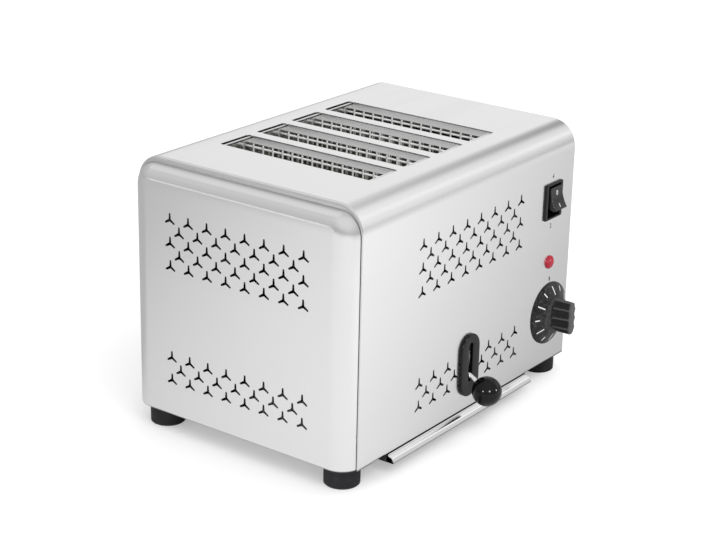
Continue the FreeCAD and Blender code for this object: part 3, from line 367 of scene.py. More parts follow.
def wrap_shape():
    """Front, top and back in one bent sheet whose ends turn down in a soft lip.

    Across each row: the seam's end wall, a quarter circle of the row's own edge radius, and the flat.
    The end wall reaches from that circle to the side cap's outline, so the lip is deeper on top."""
    outer, normal, lift = arch(FRONT, BACK, BOTTOM, TOP, WRAP_BEND)
    inner, _, _ = arch(FRONT + STEEL, BACK - STEEL, BOTTOM, TOP - LIP_DROP, CAP_CORNER)
    rows = len(outer)
    ease = EDGE_EASE + (LIP_ROUND - EDGE_EASE) * lift
    roll = np.linspace(0, QUARTER, 8)
    across = [SEAM - ease - GUARD] + [SEAM - ease + ease * sin(a) for a in roll] + [np.full(rows, SEAM)]
    set_back = [0 * ease] + [ease * (1 - cos(a)) for a in roll]
    flat_part = [outer - normal * depth[:, None] for depth in set_back] + [inner]
    tilt = [0.0] + list(roll) + [QUARTER]
    wall = [np.full(rows, STEEL)] + [np.minimum(STEEL, 0.95 * ease)] * (len(roll) + 1)
    right = np.stack([at_x(yz, x) for x, yz in zip(across, flat_part)], 1)
    facing = np.stack([at_x(normal * cos(a), sin(a)) for a in tilt], 1)
    walls = np.stack(wall, 1)
    flip = np.array([-1, 1, 1])
    points = np.concatenate([(right * flip)[:, ::-1], right], 1)
    normals = np.concatenate([(facing * flip)[:, ::-1], facing], 1)
    walls = np.concatenate([walls[:, ::-1], walls], 1)
    columns = points.shape[1]
    quads = grid_quads(rows, columns)
    flat_rows = [0, rows // 2 - 1, rows - 2]
    gap = columns // 2 - 1
    keep = ~((quads[:, 0] % columns == gap) & np.isin(quads[:, 0] // columns, flat_rows))
    skin = Skin()
    skin.add(points, normals.reshape(-1, 3), quads[keep], walls)

    edge, shoulder = SEAM - EDGE_EASE - GUARD, TOP - WRAP_BEND - GUARD
    wall_outline = [(-edge, BOTTOM), (-WRAP_HEM_END, BOTTOM), (-WRAP_HEM_END, HEM_TOP), (WRAP_HEM_END, HEM_TOP),
                    (WRAP_HEM_END, BOTTOM), (edge, BOTTOM), (edge, shoulder), (-edge, shoulder)]
    controls = [rectangle(CONTROL_X, SWITCH_Z, *SWITCH_HOLE, 0.5), circle(CONTROL_X, LAMP_Z, LAMP_HOLE),
                circle(CONTROL_X, TIMER_Z, TIMER_HOLE),
                rectangle(LEVER_X, BOTTOM + LEVER_HOLE_UP, LEVER_HOLE_WIDE, LEVER_HOLE_HIGH, 0.5)]
    plate_low, plate_high = span("lever_plate")
    front_stars = []
    for hole in star_field(LEVER_X, **FRONT_STARS):
        x, z = hole.mean(axis=0)
        if z > plate_high[2] or not plate_low[0] + 4 < x < plate_high[0] - 4:
            front_stars.append(hole)
    flat, triangles = holed(wall_outline, controls + front_stars)
    skin.add(upright(flat, FRONT), (0, -1, 0), triangles)

    gland = middle("cable_gland")
    upper_stars = [hole - (0, BACK_STARS_DROP) for hole in star_field(-LEVER_X, **FRONT_STARS)
                   if hole[:, 1].mean() > BOTTOM + BACK_STARS_FLOOR]
    flat, triangles = holed(wall_outline, upper_stars + [circle(-gland[0], gland[2], GLAND_HOLE)])
    skin.add(upright(flat * (-1, 1), BACK), (0, 1, 0), triangles)

    lip = SEAM - LIP_ROUND - GUARD
    near, far = FRONT + WRAP_BEND + GUARD, BACK - WRAP_BEND - GUARD
    slot_y = FRONT + SLOT_START + SLOT_LENGTH / 2
    slots = [rectangle(x, slot_y, SLOT_WIDTH, SLOT_LENGTH, SLOT_CORNER) for x in SLOTS_X]
    flat, triangles = holed([(-lip, near), (lip, near), (lip, far), (-lip, far)], slots)
    skin.add(np.column_stack([flat, np.full(len(flat), TOP)]), (0, 0, 1), triangles)

    for edge_y, inwards in ((FRONT, 1), (BACK, -1)):
        ends = np.array([WRAP_HEM_END, -WRAP_HEM_END]) * inwards
        strip = np.array([[(x, edge_y + inwards * depth, z) for x in ends] for depth, z, _ in HEM_ROWS])
        faces_out = np.array([[(0, -inwards * cos(a), -sin(a))] * 2 for _, _, a in HEM_ROWS])
        skin.add(strip, faces_out.reshape(-1, 3), grid_quads(len(HEM_ROWS), 2))
    return skin.solid()


def cap_shape():
    """A side cap: a flat face with stars, a fold along its top, a soft round into the sides, and a hem below.

    Across each row, inwards from the outline: a round of radius r that starts tilted, so that it holds
    r = whole radius x (1 - sin(tilt)); a fold, which is an arc of the bend's radius from the lean to the tilt;
    and a face that leans in a little below it. On the upright edges the tilt and the lean are nil, so the
    round alone is left, and both grow with the row's lift."""
    outline, outward, lift = arch(FRONT + STEEL, BACK - STEEL, HEM_TOP, CAP_TOP, CAP_CORNER)
    lift = lift * lift * (3 - 2 * lift)
    radius = CAP_ROUND + (CAP_TOP_ROUND - CAP_ROUND) * lift
    tilt, lean = CREASE_TILT * lift, LEAN * lift * lift
    reach = 1.0 + (LEAN_REACH - 1.0) * lift
    whole = radius / (1 - np.sin(tilt))
    fold = CREASE_BEND * (np.sin(tilt) - np.sin(lean)) + CREASE_SPAN
    columns = []
    for share in np.linspace(0, 1, 7):
        columns.append((radius + fold + reach * (1 - share), reach * lean * share ** 2 / 2, lean * share))
    for share in np.linspace(0, 1, 8)[1:]:
        angle = lean + (tilt - lean) * share
        done = CREASE_BEND * (np.sin(angle) - np.sin(lean)) + CREASE_SPAN * share
        columns.append((radius + fold - done, reach * lean / 2 + CREASE_BEND * (np.cos(lean) - np.cos(angle)), angle))
    start = columns[-1][1]
    for share in np.linspace(0, 1, 13)[1:]:
        angle = tilt + (QUARTER - tilt) * share
        columns.append((whole * (1 - np.sin(angle)), start + whole * (np.cos(tilt) - np.cos(angle)), angle))
    columns.append((0 * radius, np.full(len(radius), CAP_FLANGE), np.full(len(radius), QUARTER)))

    points, normals = [], []
    for inwards, depth, angle in columns:
        inwards, depth, angle = (np.broadcast_to(part, len(radius)) for part in (inwards, depth, angle))
        points.append(at_x(outline - outward * inwards[:, None], depth - SIDE))
        normals.append(at_x(outward * np.sin(angle)[:, None], -np.cos(angle)))
    points, normals = np.stack(points, 1), np.stack(normals, 1)
    skin = Skin()
    skin.add(points, normals.reshape(-1, 3), grid_quads(*points.shape[:2])[:, ::-1])

    stars = [hole * (-1, 1) for hole in star_field(-MID_Y, **SIDE_STARS)]
    flat, triangles = holed(points[:, 0, 1:], stars)
    skin.add(at_x(flat, -SIDE), (-1, 0, 0), triangles[:, ::-1])

    ring = np.concatenate([points[0, -2::-1], points[-1, :-1]])
    outwards = np.concatenate([normals[0, -2::-1], normals[-1, :-1]])
    hem = np.stack([ring * (1, 1, 0) - outwards * depth + (0, 0, z) for depth, z, _ in HEM_ROWS])
    hem_normals = np.stack([outwards * cos(a) + (0, 0, -sin(a)) for _, _, a in HEM_ROWS])
    skin.add(hem, hem_normals.reshape(-1, 3), grid_quads(*hem.shape[:2]))
    return skin.solid()


def frame_about(direction):
    """Two directions square to the given one, so that the three are a right-handed set."""
    along = np.array(direction, float) / np.linalg.norm(direction)
    start = np.array([0.0, 0.0, 1.0]) if abs(along[2]) < 0.9 else np.array([1.0, 0.0, 0.0])
    across = np.cross(start, along)
    across /= np.linalg.norm(across)
    return along, across, np.cross(along, across)


def turned(profile, spot, direction, count):
    """A turned surface. The profile's (radius, distance) points go round the axis through the spot.

    It runs up the outside and down any bore."""
    along, across, up = frame_about(direction)
    radius, distance = np.asarray(profile, float).T[:, :, None, None]
    turn = full_turn(count)[:, None]
    around = np.cos(turn) * across + np.sin(turn) * up
    return Shape().grid(np.array(spot) + distance * along + radius * around, close_columns=True)


def tube(path, radius, count=12):
    """A round bar along a path: a circle carried from point to point, square to the path, with closed ends."""
    path = np.asarray(path, float)
    steps = np.gradient(path, axis=0)
    steps /= np.linalg.norm(steps, axis=1)[:, None]
    _, across, _ = frame_about(steps[0])
    across = across - steps * (steps @ across)[:, None]
    across /= np.linalg.norm(across, axis=1)[:, None]
    up = np.cross(steps, across)
    turn = full_turn(count)[:, None]
    around = np.cos(turn) * across[:, None] + np.sin(turn) * up[:, None]
    sizes = np.concatenate([[0.0], np.full(len(path), radius), [0.0]])
    order = np.concatenate([[0], np.arange(len(path)), [len(path) - 1]])
    return Shape().grid(path[order][:, None] + sizes[:, None, None] * around[order], close_columns=True)


def block(low, high):
    """A plain box of six faces."""
    x, y, z = np.array([low, high], float).T
    corners = [(x[a], y[b], z[c]) for c in (0, 1) for b in (0, 1) for a in (0, 1)]
    return Shape().add(corners, [(0, 2, 3, 1), (4, 5, 7, 6), (0, 1, 5, 4), (2, 6, 7, 3), (0, 4, 6, 2), (1, 3, 7, 5)])


def together(*shapes):
    whole = Shape()
    for shape in shapes:
        whole.faces += [[corner + whole.total for corner in face] for face in shape.faces]
        whole.points += shape.points
        whole.total += shape.total
    return whole


def extruded(outline, start, end):
    """A bar along X: its outline of (y, z) points, anticlockwise seen from the right, and two flat ends."""
    shape = Shape().grid([at_x(outline, x) for x in (start, end)], close_columns=True)
    flat, triangles = holed(outline, [])
    return shape.add(at_x(flat, end), triangles).add(at_x(flat, start), triangles[:, ::-1])


def capped(rows):
    """A prism between two equal outlines, closed at both ends by a strip of quads across the outline."""
    count = rows.shape[1]
    shape = Shape().grid(rows, close_columns=True)
    near = np.arange(count // 2 - 1)
    strip = np.stack([near, near + 1, count - 2 - near, count - 1 - near], 1)
    return shape.add(rows[0], strip).add(rows[1], strip[:, ::-1])


def nested(rows, x, z):
    """A shape of rectangles one inside another, each with its width, height, corner radius and Y."""
    least = 1e-4
    rings = [upright(rectangle(x, z, max(width, least), max(height, least), max(radius, least / 2)), y)
             for width, height, radius, y in rows]
    return Shape().grid(rings, close_columns=True)


def arc(across, up, radius, start, end, steps=6):
    """Points on part of a circle, from one angle in degrees to another."""
    turn = np.radians(np.linspace(start, end, steps + 1))
    return [(across + radius * cos(a), up + radius * sin(a)) for a in turn]


# Shaders

def math_node(operation, reflected=False):
    """A Wire's method that adds one Math node. The reflected form has the two values the other way round."""
    def method(self, other):
        first, second = (other, self) if reflected else (self, other)
        return self.finish.add("ShaderNodeMath", {0: first, 1: second}, operation=operation).out()
    return method


class Wire:
    """A node's output, with arithmetic that adds Math nodes."""

    def __init__(self, finish, socket):
        self.finish = finish
        self.socket = socket

    __add__, __radd__ = math_node("ADD"), math_node("ADD", True)
    __sub__, __rsub__ = math_node("SUBTRACT"), math_node("SUBTRACT", True)
    __mul__, __rmul__ = math_node("MULTIPLY"), math_node("MULTIPLY", True)
    above, below = math_node("MAXIMUM"), math_node("MINIMUM")

    def size(self):
        return self.finish.add("ShaderNodeMath", {0: self}, operation="ABSOLUTE").out()

    def between(self, start, end):
        """Rises softly from 0 to 1 as the value goes, up or down, from start to end."""
        ranges = {"Value": self, "From Min": start, "From Max": end}
        return self.finish.add("ShaderNodeMapRange", ranges, interpolation_type="SMOOTHSTEP").out("Result")

    def passing(self, start, end):
        """The same for a distance in metres, with the start and end in millimetres."""
        return self.between(start * MM, end * MM)


class Node:
    """A shader node that hands out its outputs as Wires."""

    def __init__(self, finish, node):
        self.finish = finish
        self.node = node

    def out(self, name=0):
        return Wire(self.finish, self.node.outputs[name])


class Finish:
    """A node tree being filled in: a new material's, given its name, or the world's."""

    def __init__(self, holder):
        if isinstance(holder, str):
            holder = bpy.data.materials.new(holder)
        holder.use_nodes = True
        self.holder = holder
        self.tree = holder.node_tree
        self.tree.nodes.clear()

    def add(self, kind, sockets=None, **settings):
        """A node of a kind, with its settings, and a value or a link for each of the given sockets."""
        node = self.tree.nodes.new(kind)
        for name, value in settings.items():
            setattr(node, name, value)
        for name, value in (sockets or {}).items():
            if isinstance(value, Wire):
                self.tree.links.new(value.socket, node.inputs[name])
            else:
                node.inputs[name].default_value = value
        return Node(self, node)

    def blend(self, factor, first, second):
        """Two colours mixed by a factor. The Mix node's colours are its sockets 6 and 7, and its result is 2."""
        first, second = (shade if isinstance(shade, Wire) else (*shade, 1.0) for shade in (first, second))
        return self.add("ShaderNodeMix", {0: factor, 6: first, 7: second}, data_type="RGBA").out(2)

    def place(self):
        """The point on the piece, in metres."""
        return self.add("ShaderNodeTexCoord").out("Object")

    def parts(self, vector):
        split = self.add("ShaderNodeSeparateXYZ", {0: vector})
        return split.out("X"), split.out("Y"), split.out("Z")

    def where(self, mask):
        """A mask's value at the point, worked out from its X, Y and Z."""
        return mask(*self.parts(self.place()))

    def stretched(self, scale):
        """The point on the piece with each direction scaled by its own amount."""
        return self.add("ShaderNodeMapping", {"Vector": self.place(), "Scale": scale}).out()

    def noise(self, scale, detail=2.0, roughness=0.5, point=None):
        sockets = {"Vector": point or self.place(), "Scale": scale, "Detail": detail, "Roughness": roughness}
        return self.add("ShaderNodeTexNoise", sockets).out("Fac")

    def spots(self, scale, point=None):
        return self.add("ShaderNodeTexVoronoi", {"Vector": point or self.place(), "Scale": scale}).out("Distance")

    def bump(self, height, distance, strength):
        return self.add("ShaderNodeBump", {"Height": height, "Distance": distance, "Strength": strength}).out()

    def surface(self, **sockets):
        """The Principled shader with the given sockets, sent to the output."""
        named = {name.replace("_", " ").title().replace("Ior", "IOR"): value for name, value in sockets.items()}
        shader = self.add("ShaderNodeBsdfPrincipled", named)
        self.finish_with(shader.out())
        return self.holder

    def finish_with(self, shader):
        kind = "ShaderNodeOutputWorld" if isinstance(self.holder, bpy.types.World) else "ShaderNodeOutputMaterial"
        self.add(kind, {"Surface": shader})


def colour(red, green, blue):
    """A colour as a picture shows it, 0 to 255, turned into light."""
    return tuple((c / 255 / 12.92) if c <= 10 else ((c / 255 + 0.055) / 1.055) ** 2.4 for c in (red, green, blue))


BLACK = (0.0, 0.0, 0.0)


def satin_steel(name, grain, tint=(0.80, 0.80, 0.80), rough=0.25, painted_shade_mask=None, duller=None, painted_highlight_mask=None):
    """Satin stainless sheet: fine polishing lines along one direction, faint clouds and a few handling smears.

    Where the shade mask is 1, such as along a seam or a hem, the sheet's colour is darkened as painted shade. Where
     duller is 1 it mirrors less sharply, and where the highlight mask is 1 the colour is lightened as a painted
     highlight."""
    finish = Finish(name)
    lines = finish.noise(1.0, 3.0, 0.65, finish.stretched(grain))
    clouds = finish.noise(9.0, 3.0, 0.55)
    smears = finish.noise(1.0, point=finish.stretched(tuple(part ** 0.5 for part in grain)))
    shade = 0.955 + lines * 0.05 + clouds * 0.04
    # Painted shade: the colour is darkened where the mask is 1
    if painted_shade_mask:
        shade = shade * (1.0 - finish.where(painted_shade_mask))
    base = finish.blend(shade, BLACK, tint)
    # Painted highlight: the colour is lightened towards white where the mask is 1
    if painted_highlight_mask:
        base = finish.blend(finish.where(painted_highlight_mask), base, (1.0, 1.0, 1.0))
    roughness = rough - 0.045 + lines * 0.05 + smears.between(0.45, 0.75) * 0.04
    if duller:
        roughness = roughness + finish.where(duller) * 0.16
    relief = lines * 0.7 + clouds * 0.3
    return finish.surface(base_color=base, metallic=1.0, roughness=roughness,
                          normal=finish.bump(relief, 0.00002, 0.35))


def hem_shade_band(z):
    """The last millimetre above the body's lower edge, darkened there as painted shade."""
    return z.passing(BOTTOM + 1.5, BOTTOM + 0.7)


def wrap_painted_shade(x, y, z):
    """Painted shade in the steel's colour: the seam's end walls, and the hem along the bottom."""
    return (x.size().passing(SEAM - 0.8, SEAM - 0.3) * 0.15).above(hem_shade_band(z) * 0.72)


def cap_painted_shade(x, y, z):
    # Painted shade in the steel's colour along the cap's hem
    return hem_shade_band(z) * 0.5


def cap_fold_highlight(x, y, z):
    """A painted highlight: a bright line along the fold on the cap's top, between its corners."""
    level = (z - (CAP_TOP - CAP_TOP_ROUND - 0.4) * MM).size().passing(0.9, 0.3)
    half = (BACK - FRONT) / 2 - CAP_CORNER
    return level * (y - MID_Y * MM).size().passing(half, half - 6.0)


def tray_pan(x, y, z):
    """All of the tray behind its nose."""
    return y.passing(FRONT - 1.0, FRONT + 1.0)


def tray_painted_shade(x, y, z):
    """Painted shade in the steel's colour: the nose's front facet, and more so its lower edge."""
    edge = z.passing(TRAY_BOTTOM + 1.3, TRAY_BOTTOM + 0.7) * y.passing(FRONT, FRONT - 1.0)
    return (y.passing(FRONT - 3.6, FRONT - 4.6) * 0.4).above(edge * 0.9)


def bright_metal(name, tint, rough, wear=0.06, relief=0.00001, metallic=1.0):
    """Plated or polished metal: its shade and gloss wander a little, with fine pits."""
    finish = Finish(name)
    clouds = finish.noise(60.0, 4.0, 0.6)
    pits = finish.noise(900.0)
    base = finish.blend(1.0 - wear + clouds * wear, BLACK, tint)
    roughness = rough + clouds.between(0.35, 0.75) * wear * 1.2
    return finish.surface(base_color=base, metallic=metallic, roughness=roughness,
                          normal=finish.bump(clouds + pits * 0.4, relief, 0.4))


def plastic(name, shade, rough, grain=0.00002, lighter=1.35, gloss=0.5):
    """Moulded plastic: an even colour with a faint mottle, fine texture and slightly varying gloss."""
    finish = Finish(name)
    mottle = finish.noise(45.0, 3.0, 0.6)
    texture = finish.noise(1400.0, 2.0, 0.6)
    light = tuple(min(1.0, part * lighter) for part in shade)
    base = finish.blend(mottle.between(0.3, 0.8), shade, light)
    roughness = rough + mottle.between(0.3, 0.8) * 0.07
    return finish.surface(base_color=base, roughness=roughness, specular_ior_level=gloss,
                          normal=finish.bump(texture, grain, 0.5))


def knob_plastic(name):
    """The dial's black moulding: coarsely mottled, with the crests between the grip's grooves and the grip's end made
    paler as painted highlights.

    A crest is where 1 - |sin(pi s / groove)| is high, s being the share of the grip's half height."""
    finish = Finish(name)
    mottle = finish.noise(420.0, 3.0, 0.65)
    texture = finish.noise(900.0, 2.0, 0.6)
    _, y, z = finish.parts(finish.place())
    share = (z - TIMER_Z * MM) * (1.0 / (GRIP_HALF_HEIGHT * MM))
    wave = finish.add("ShaderNodeMath", {0: share * (pi / GROOVE)}, operation="SINE").out()
    grip = y.passing(FRONT - 10.0, FRONT - 12.0)
    end = y.passing(FRONT - GRIP_END + 1.8, FRONT - GRIP_END + 0.4)
    # Painted highlights: the crests and the grip's end are lightened towards grey in the colour itself
    crest = (1.0 - wave.size()).between(0.55, 1.0) * grip
    speckled = finish.blend(mottle.between(0.42, 0.72) * (1.0 - grip * 0.8), colour(13, 13, 14), colour(66, 66, 68))
    base = finish.blend((crest * 0.6).above(end * 0.5), speckled, colour(112, 112, 114))
    return finish.surface(base_color=base, roughness=0.3 + mottle * 0.12, specular_ior_level=0.35,
                          normal=finish.bump(texture, 0.00005, 0.5))


def mica_board(name):
    """Pressed mica: a warm silvery board with flat glinting flecks. Its colours are darker than mica's own, as painted
    shade for the deep slots.
    """
    finish = Finish(name)
    flakes = finish.spots(260.0, finish.stretched((1.0, 1.0, 1.6)))
    stain = finish.noise(26.0, 3.0, 0.6)
    warm = finish.blend(stain.between(0.35, 0.75), colour(70, 67, 61), colour(50, 44, 37))
    base = finish.blend(flakes.between(0.25, 0.6) * 0.6, warm, colour(92, 89, 83))
    return finish.surface(base_color=base, metallic=0.1, roughness=0.5 + stain * 0.3,
                          normal=finish.bump(flakes, 0.00006, 0.6))


def mottled(name, pattern, levels, shades, rough, wander, relief, strength, skin=None, **more):
    """A finish that goes from one shade to the other, and from gloss to dull, as a pattern rises.

    The pattern raises the surface too, unless a finer skin does."""
    finish = Finish(name)
    mottle = pattern(finish)
    base = finish.blend(mottle.between(*levels), *shades)
    height = finish.noise(skin) if skin else mottle
    return finish.surface(base_color=base, roughness=rough + mottle * wander,
                          normal=finish.bump(height, relief, strength), **more)


def cloudy(scale, detail=3.0, roughness=0.6):
    """A mottled finish's pattern of soft clouds."""
    return lambda finish: finish.noise(scale, detail, roughness)


def faceted(scale):
    """A mottled finish's pattern of small cells."""
    return lambda finish: finish.spots(scale)


def print_ink(name, shade):
    """Printed or filled marking, a little uneven in its cover."""
    shades = tuple(part * 0.9 for part in shade), shade
    return mottled(name, cloudy(700.0), (0.2, 0.8), shades, 0.5, 0.15, 0.00001, 0.5)


# Polishing lines per metre: few along their run, many across it
RUN, FINE, COARSE = 14.0, 1500.0, 1200.0
# The wrap, the caps and the tray take painted shade along seams, hems and the tray's nose; the caps also take a painted
# highlight along their fold
WRAP_STEEL = satin_steel("satin_steel_wrap", (RUN, FINE, FINE), painted_shade_mask=wrap_painted_shade)
CAP_STEEL = satin_steel("satin_steel_caps", (FINE, RUN, FINE), painted_shade_mask=cap_painted_shade, painted_highlight_mask=cap_fold_highlight)
TRAY_STEEL = satin_steel("satin_steel_tray", (RUN, COARSE, COARSE), (0.92, 0.92, 0.92), 0.1, tray_painted_shade, tray_pan)
BRIGHT_SHEET = bright_metal("bright_sheet", (0.86, 0.86, 0.85), 0.16)
ZINC_SHEET = bright_metal("zinc_sheet", (0.70, 0.71, 0.72), 0.34, 0.16, 0.00002)
LIP_STEEL = satin_steel("satin_steel_lips", (COARSE, RUN, COARSE), rough=0.3)
CHROME = bright_metal("chrome", (0.88, 0.88, 0.89), 0.06, 0.03, 0.000004)
WIRE_METAL = bright_metal("guard_wire", (0.96, 0.96, 0.95), 0.35, 0.06, metallic=0.1)
BRASS = bright_metal("brass", (0.80, 0.62, 0.30), 0.25, 0.12)
SPRING_STEEL = bright_metal("spring_steel", (0.52, 0.52, 0.53), 0.3, 0.12)
GLOSS_BLACK = plastic("gloss_black", colour(11, 11, 12), 0.09, 0.000006, gloss=0.24)
SATIN_BLACK = plastic("satin_black", colour(18, 18, 20), 0.34, gloss=0.3)
KNOB_BLACK = knob_plastic("knob_black")
ROCKER_BLACK = plastic("rocker_black", colour(14, 14, 15), 0.22, gloss=0.45)
# Matt, with a dusty bloom and a coarse moulded skin
RUBBER = mottled("black_rubber", cloudy(120.0, 4.0, 0.65), (0.45, 0.8), (colour(30, 30, 33), colour(52, 52, 56)),
                 0.55, 0.2, 0.00004, 0.6, skin=1600.0)
WHITE_PLASTIC = plastic("off_white_plastic", colour(222, 220, 212), 0.4, lighter=1.06)
MICA = mica_board("mica")
# Resistance ribbon, dulled by heat into greys and browns
RIBBON = mottled("heating_ribbon", cloudy(70.0), (0.3, 0.7), (colour(64, 61, 60), colour(92, 78, 66)),
                 0.42, 0.2, 0.00003, 0.4, metallic=0.9)
# A red moulded lens, with fine facets under its gloss
RED = mottled("red_lens", faceted(900.0), (0.1, 0.6), (colour(222, 22, 64), colour(158, 6, 36)),
              0.16, 0.1, 0.00006, 0.5, transmission_weight=0.25)
WHITE_INK = print_ink("white_print", (0.95, 0.95, 0.94))
BLACK_INK = print_ink("black_print", colour(28, 28, 30))

NODE_FINISHES = [
    (ZINC_SHEET, "base_plate foot_screws foot_nuts tray_runner_left tray_runner_right carriage_bar_front "
                 "carriage_bar_back rod_bracket_front rod_bracket_back carriage_stops"),
    (CHROME, "base_screws guide_rod_front guide_rod_back timer_shaft"),
    (BRIGHT_SHEET, "inner_front_plate inner_back_plate heat_shield_left heat_shield_right "
                   "bread_rack_1 bread_rack_2 bread_rack_3 bread_rack_4"),
    (BRASS, "switch_terminals"), (SATIN_BLACK, "lamp_body timer_body"), (WHITE_PLASTIC, "terminal_block"),
    (MICA, "heater_board_1 heater_board_2 heater_board_3 heater_board_4 heater_board_5"),
    (RIBBON, "heater_ribbon_1 heater_ribbon_2 heater_ribbon_3 heater_ribbon_4 heater_ribbon_5"),
]
for material, nodes in NODE_FINISHES:
    for node in nodes.split():
        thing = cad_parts[node]
        thing.data.materials.clear()
        thing.data.materials.append(material)


# Body

finished("body_wrap", wrap_shape(), "housing", WRAP_STEEL, ["outer_wrap"])
finished("side_cap_left", cap_shape(), "housing", CAP_STEEL, ["left_side_cap"])
finished("side_cap_right", cap_shape().mirrored(), "housing", CAP_STEEL, ["right_side_cap"])


# Feet

def foot_shape(spot):
    """A rubber foot: a flange above a slightly tapered body with eight fine grooves, and a hollow below."""
    body = [(7.0, 10.0), (7.0, 0.4), (7.4, 0.0), (13.2, 0.0), (14.0, 0.8)]
    for groove in range(8):
        low = 2.0 + groove * 1.45
        body += [(14.0, low), (13.72, low + 0.25), (13.72, low + 0.55), (14.05, low + 0.8)]
    body += [(14.2, 14.5), (15.2, 14.5), (15.5, 14.8), (15.5, 17.2), (15.2, 17.5)]
    body += [(2.2, 17.5), (2.2, 10.0), (7.0, 10.0)]
    return turned(body, spot, (0, 0, 1), 72)


for node in ("foot_front_left", "foot_front_right", "foot_back_left", "foot_back_right"):
    x, y, _ = middle(node)
    finished("rubber_" + node, foot_shape((x, y, 0.0)), "housing", RUBBER, [node], sharp=28.0)


# Return springs

SPRING_WIRE = 0.8
SPRING_TURNS = 26


def spring_shape(low, high):
    """A coil of round wire. At a share s of it, the turn is 2 pi x turns x s, and the height is
    low + rise x (s - 0.35 x sin(2 pi s) / 2 pi), which closes up the first and the last turn."""
    (x, y), outer = (low[:2] + high[:2]) / 2, (high[0] - low[0]) / 2
    share = np.linspace(0, 1, SPRING_TURNS * 14 + 1)
    turn = 2 * pi * SPRING_TURNS * share
    rise = high[2] - low[2] - SPRING_WIRE
    height = low[2] + SPRING_WIRE / 2 + rise * (share - 0.35 * np.sin(2 * pi * share) / (2 * pi))
    around = outer - SPRING_WIRE / 2
    return tube(np.column_stack([x + around * np.cos(turn), y + around * np.sin(turn), height]), SPRING_WIRE / 2, 8)


for node in ("return_spring_front", "return_spring_back"):
    low, high = span(node)
    coil = finished("coil_" + node, spring_shape(low, high), "housing", SPRING_STEEL, [node])
    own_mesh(coil)


# Crumb tray

def tray_shape():
    """The tray's pan, and its nose: one folded sheet's outline carried from side to side, bends rounded."""
    low, high = span("crumb_tray")
    sheet, reach, rise = 0.8, FRONT - low[1], high[2] - low[2]
    fold, drop, gap = 3.8, 2.3, 0.8
    outline = [(sheet, rise - gap, 0), (-fold, rise - drop, 1.2), (-reach, 0, 1.1), (-reach + 3.4 * sheet, 0, 0.3),
               (-reach + 3.4 * sheet, sheet, 0.3), (-reach + 2.1 * sheet, sheet, 0.3),
               (-fold + 0.9 * sheet, rise - drop - 0.8 * sheet, 0.7), (sheet, rise - gap - sheet, 0)]
    nose = rounded([(FRONT + y, low[2] + z, r) for y, z, r in outline], 5, closed=True)
    left, right, near, far, top = low[0], high[0], FRONT, high[1], high[2] - 0.4
    walls = [(left, left + sheet, near, far), (right - sheet, right, near, far), (left, right, far - sheet, far),
             (left, right, near, near + sheet)]
    return together(extruded(nose[::-1], left, right),
                    block((left, low[1] + 2 * sheet, low[2]), (right, far, low[2] + sheet)),
                    *(block((x0, y0, low[2]), (x1, y1, top)) for x0, x1, y0, y1 in walls))


finished("crumb_tray_pan", tray_shape(), "tray", TRAY_STEEL, ["crumb_tray"])


# Slot lips

def lip_line(start):
    """A lip's face in section, as (across, up): it leans in from 5 to 20 degrees over its 4.8 mm."""
    lean = np.radians(np.linspace(5.0, 20.0, 8))
    length = 4.8 / 7
    across = start - np.concatenate([[0.0], np.cumsum(np.sin(lean[1:]) * length)])
    up = TOP - 1.1 - np.concatenate([[0.0], np.cumsum(np.cos(lean[1:]) * length)])
    return np.stack([across, up], 1), np.stack([np.cos(lean), np.sin(lean)], 1)


def slot_lips_shape():
    """Thin lips under each slot's edge: one along each side, and a narrow flange on the plate at each end."""
    front_plate, back_plate = span("inner_front_plate")[0][1], span("inner_back_plate")[1][1]
    lips = []
    line, outward = lip_line(SLOT_WIDTH / 2 + 0.3)
    section = np.concatenate([line, (line + outward * 0.8)[::-1]])
    for x in SLOTS_X:
        for side in (-1, 1):
            rows = np.array([upright(section * (side, 1) + (x, 0), y)
                             for y in (front_plate + STEEL + 0.05, back_plate - STEEL - 0.05)])
            lips.append(capped(rows if side < 0 else rows[::-1]))
        for near, far in ((front_plate - 1.6, front_plate + 0.1), (back_plate - 0.1, back_plate + 1.6)):
            lips.append(block((x - 16.6, near, TOP - 1.5), (x + 16.6, far, TOP - 0.9)))
    return together(*lips)


finished("slot_lips", slot_lips_shape(), "housing", LIP_STEEL, ["guide_strips"])


# Bread guards

GUARD_WIRES = 14
GUARD_END = 3.0


def guard_shape(x, low, high):
    """Two welded grids, one each side of a slot: four level rails, and fourteen uprights on the bread's side."""
    bars = []
    for side in (-1, 1):
        rail_x = x + side * 14.0
        for z in np.linspace(low[2] + GUARD_END, high[2] - GUARD_END, 4):
            bars.append(tube([(rail_x, low[1], z), (rail_x, high[1], z)], 0.9))
        step = (high[1] - low[1]) / GUARD_WIRES
        for y in low[1] + step * (np.arange(GUARD_WIRES) + 0.5):
            wire_x = rail_x - side * 1.275
            bars.append(tube([(wire_x, y, low[2]), (wire_x, y, high[2])], 0.75, 10))
    return together(*bars)


for number, x in enumerate(SLOTS_X, start=1):
    node = "bread_guard_%d" % number
    finished("guard_grid_%d" % number, guard_shape(x, *span(node)), "housing", WIRE_METAL, [node],
             sharp=60.0)


# Lever

ball_spot = middle("ball_knob")
arm_high = span("lever_arm")[1]
ARM_LEVEL = arm_high[2] - 2.2
slope = np.array([0.0, FRONT - ball_spot[1], ARM_LEVEL - ball_spot[2]])
slope /= np.linalg.norm(slope)
tip = ball_spot + slope * 4.5
arm_line = rounded([(arm_high[1], ARM_LEVEL, 0), (FRONT, ARM_LEVEL, 8.0), (tip[1], tip[2], 0)], 10)
finished("lever_arm_bar", tube(at_x(arm_line, LEVER_X), 2.2, 24), "carriage", CHROME, ["lever_arm"],
         sharp=50.0, mirrored=False)

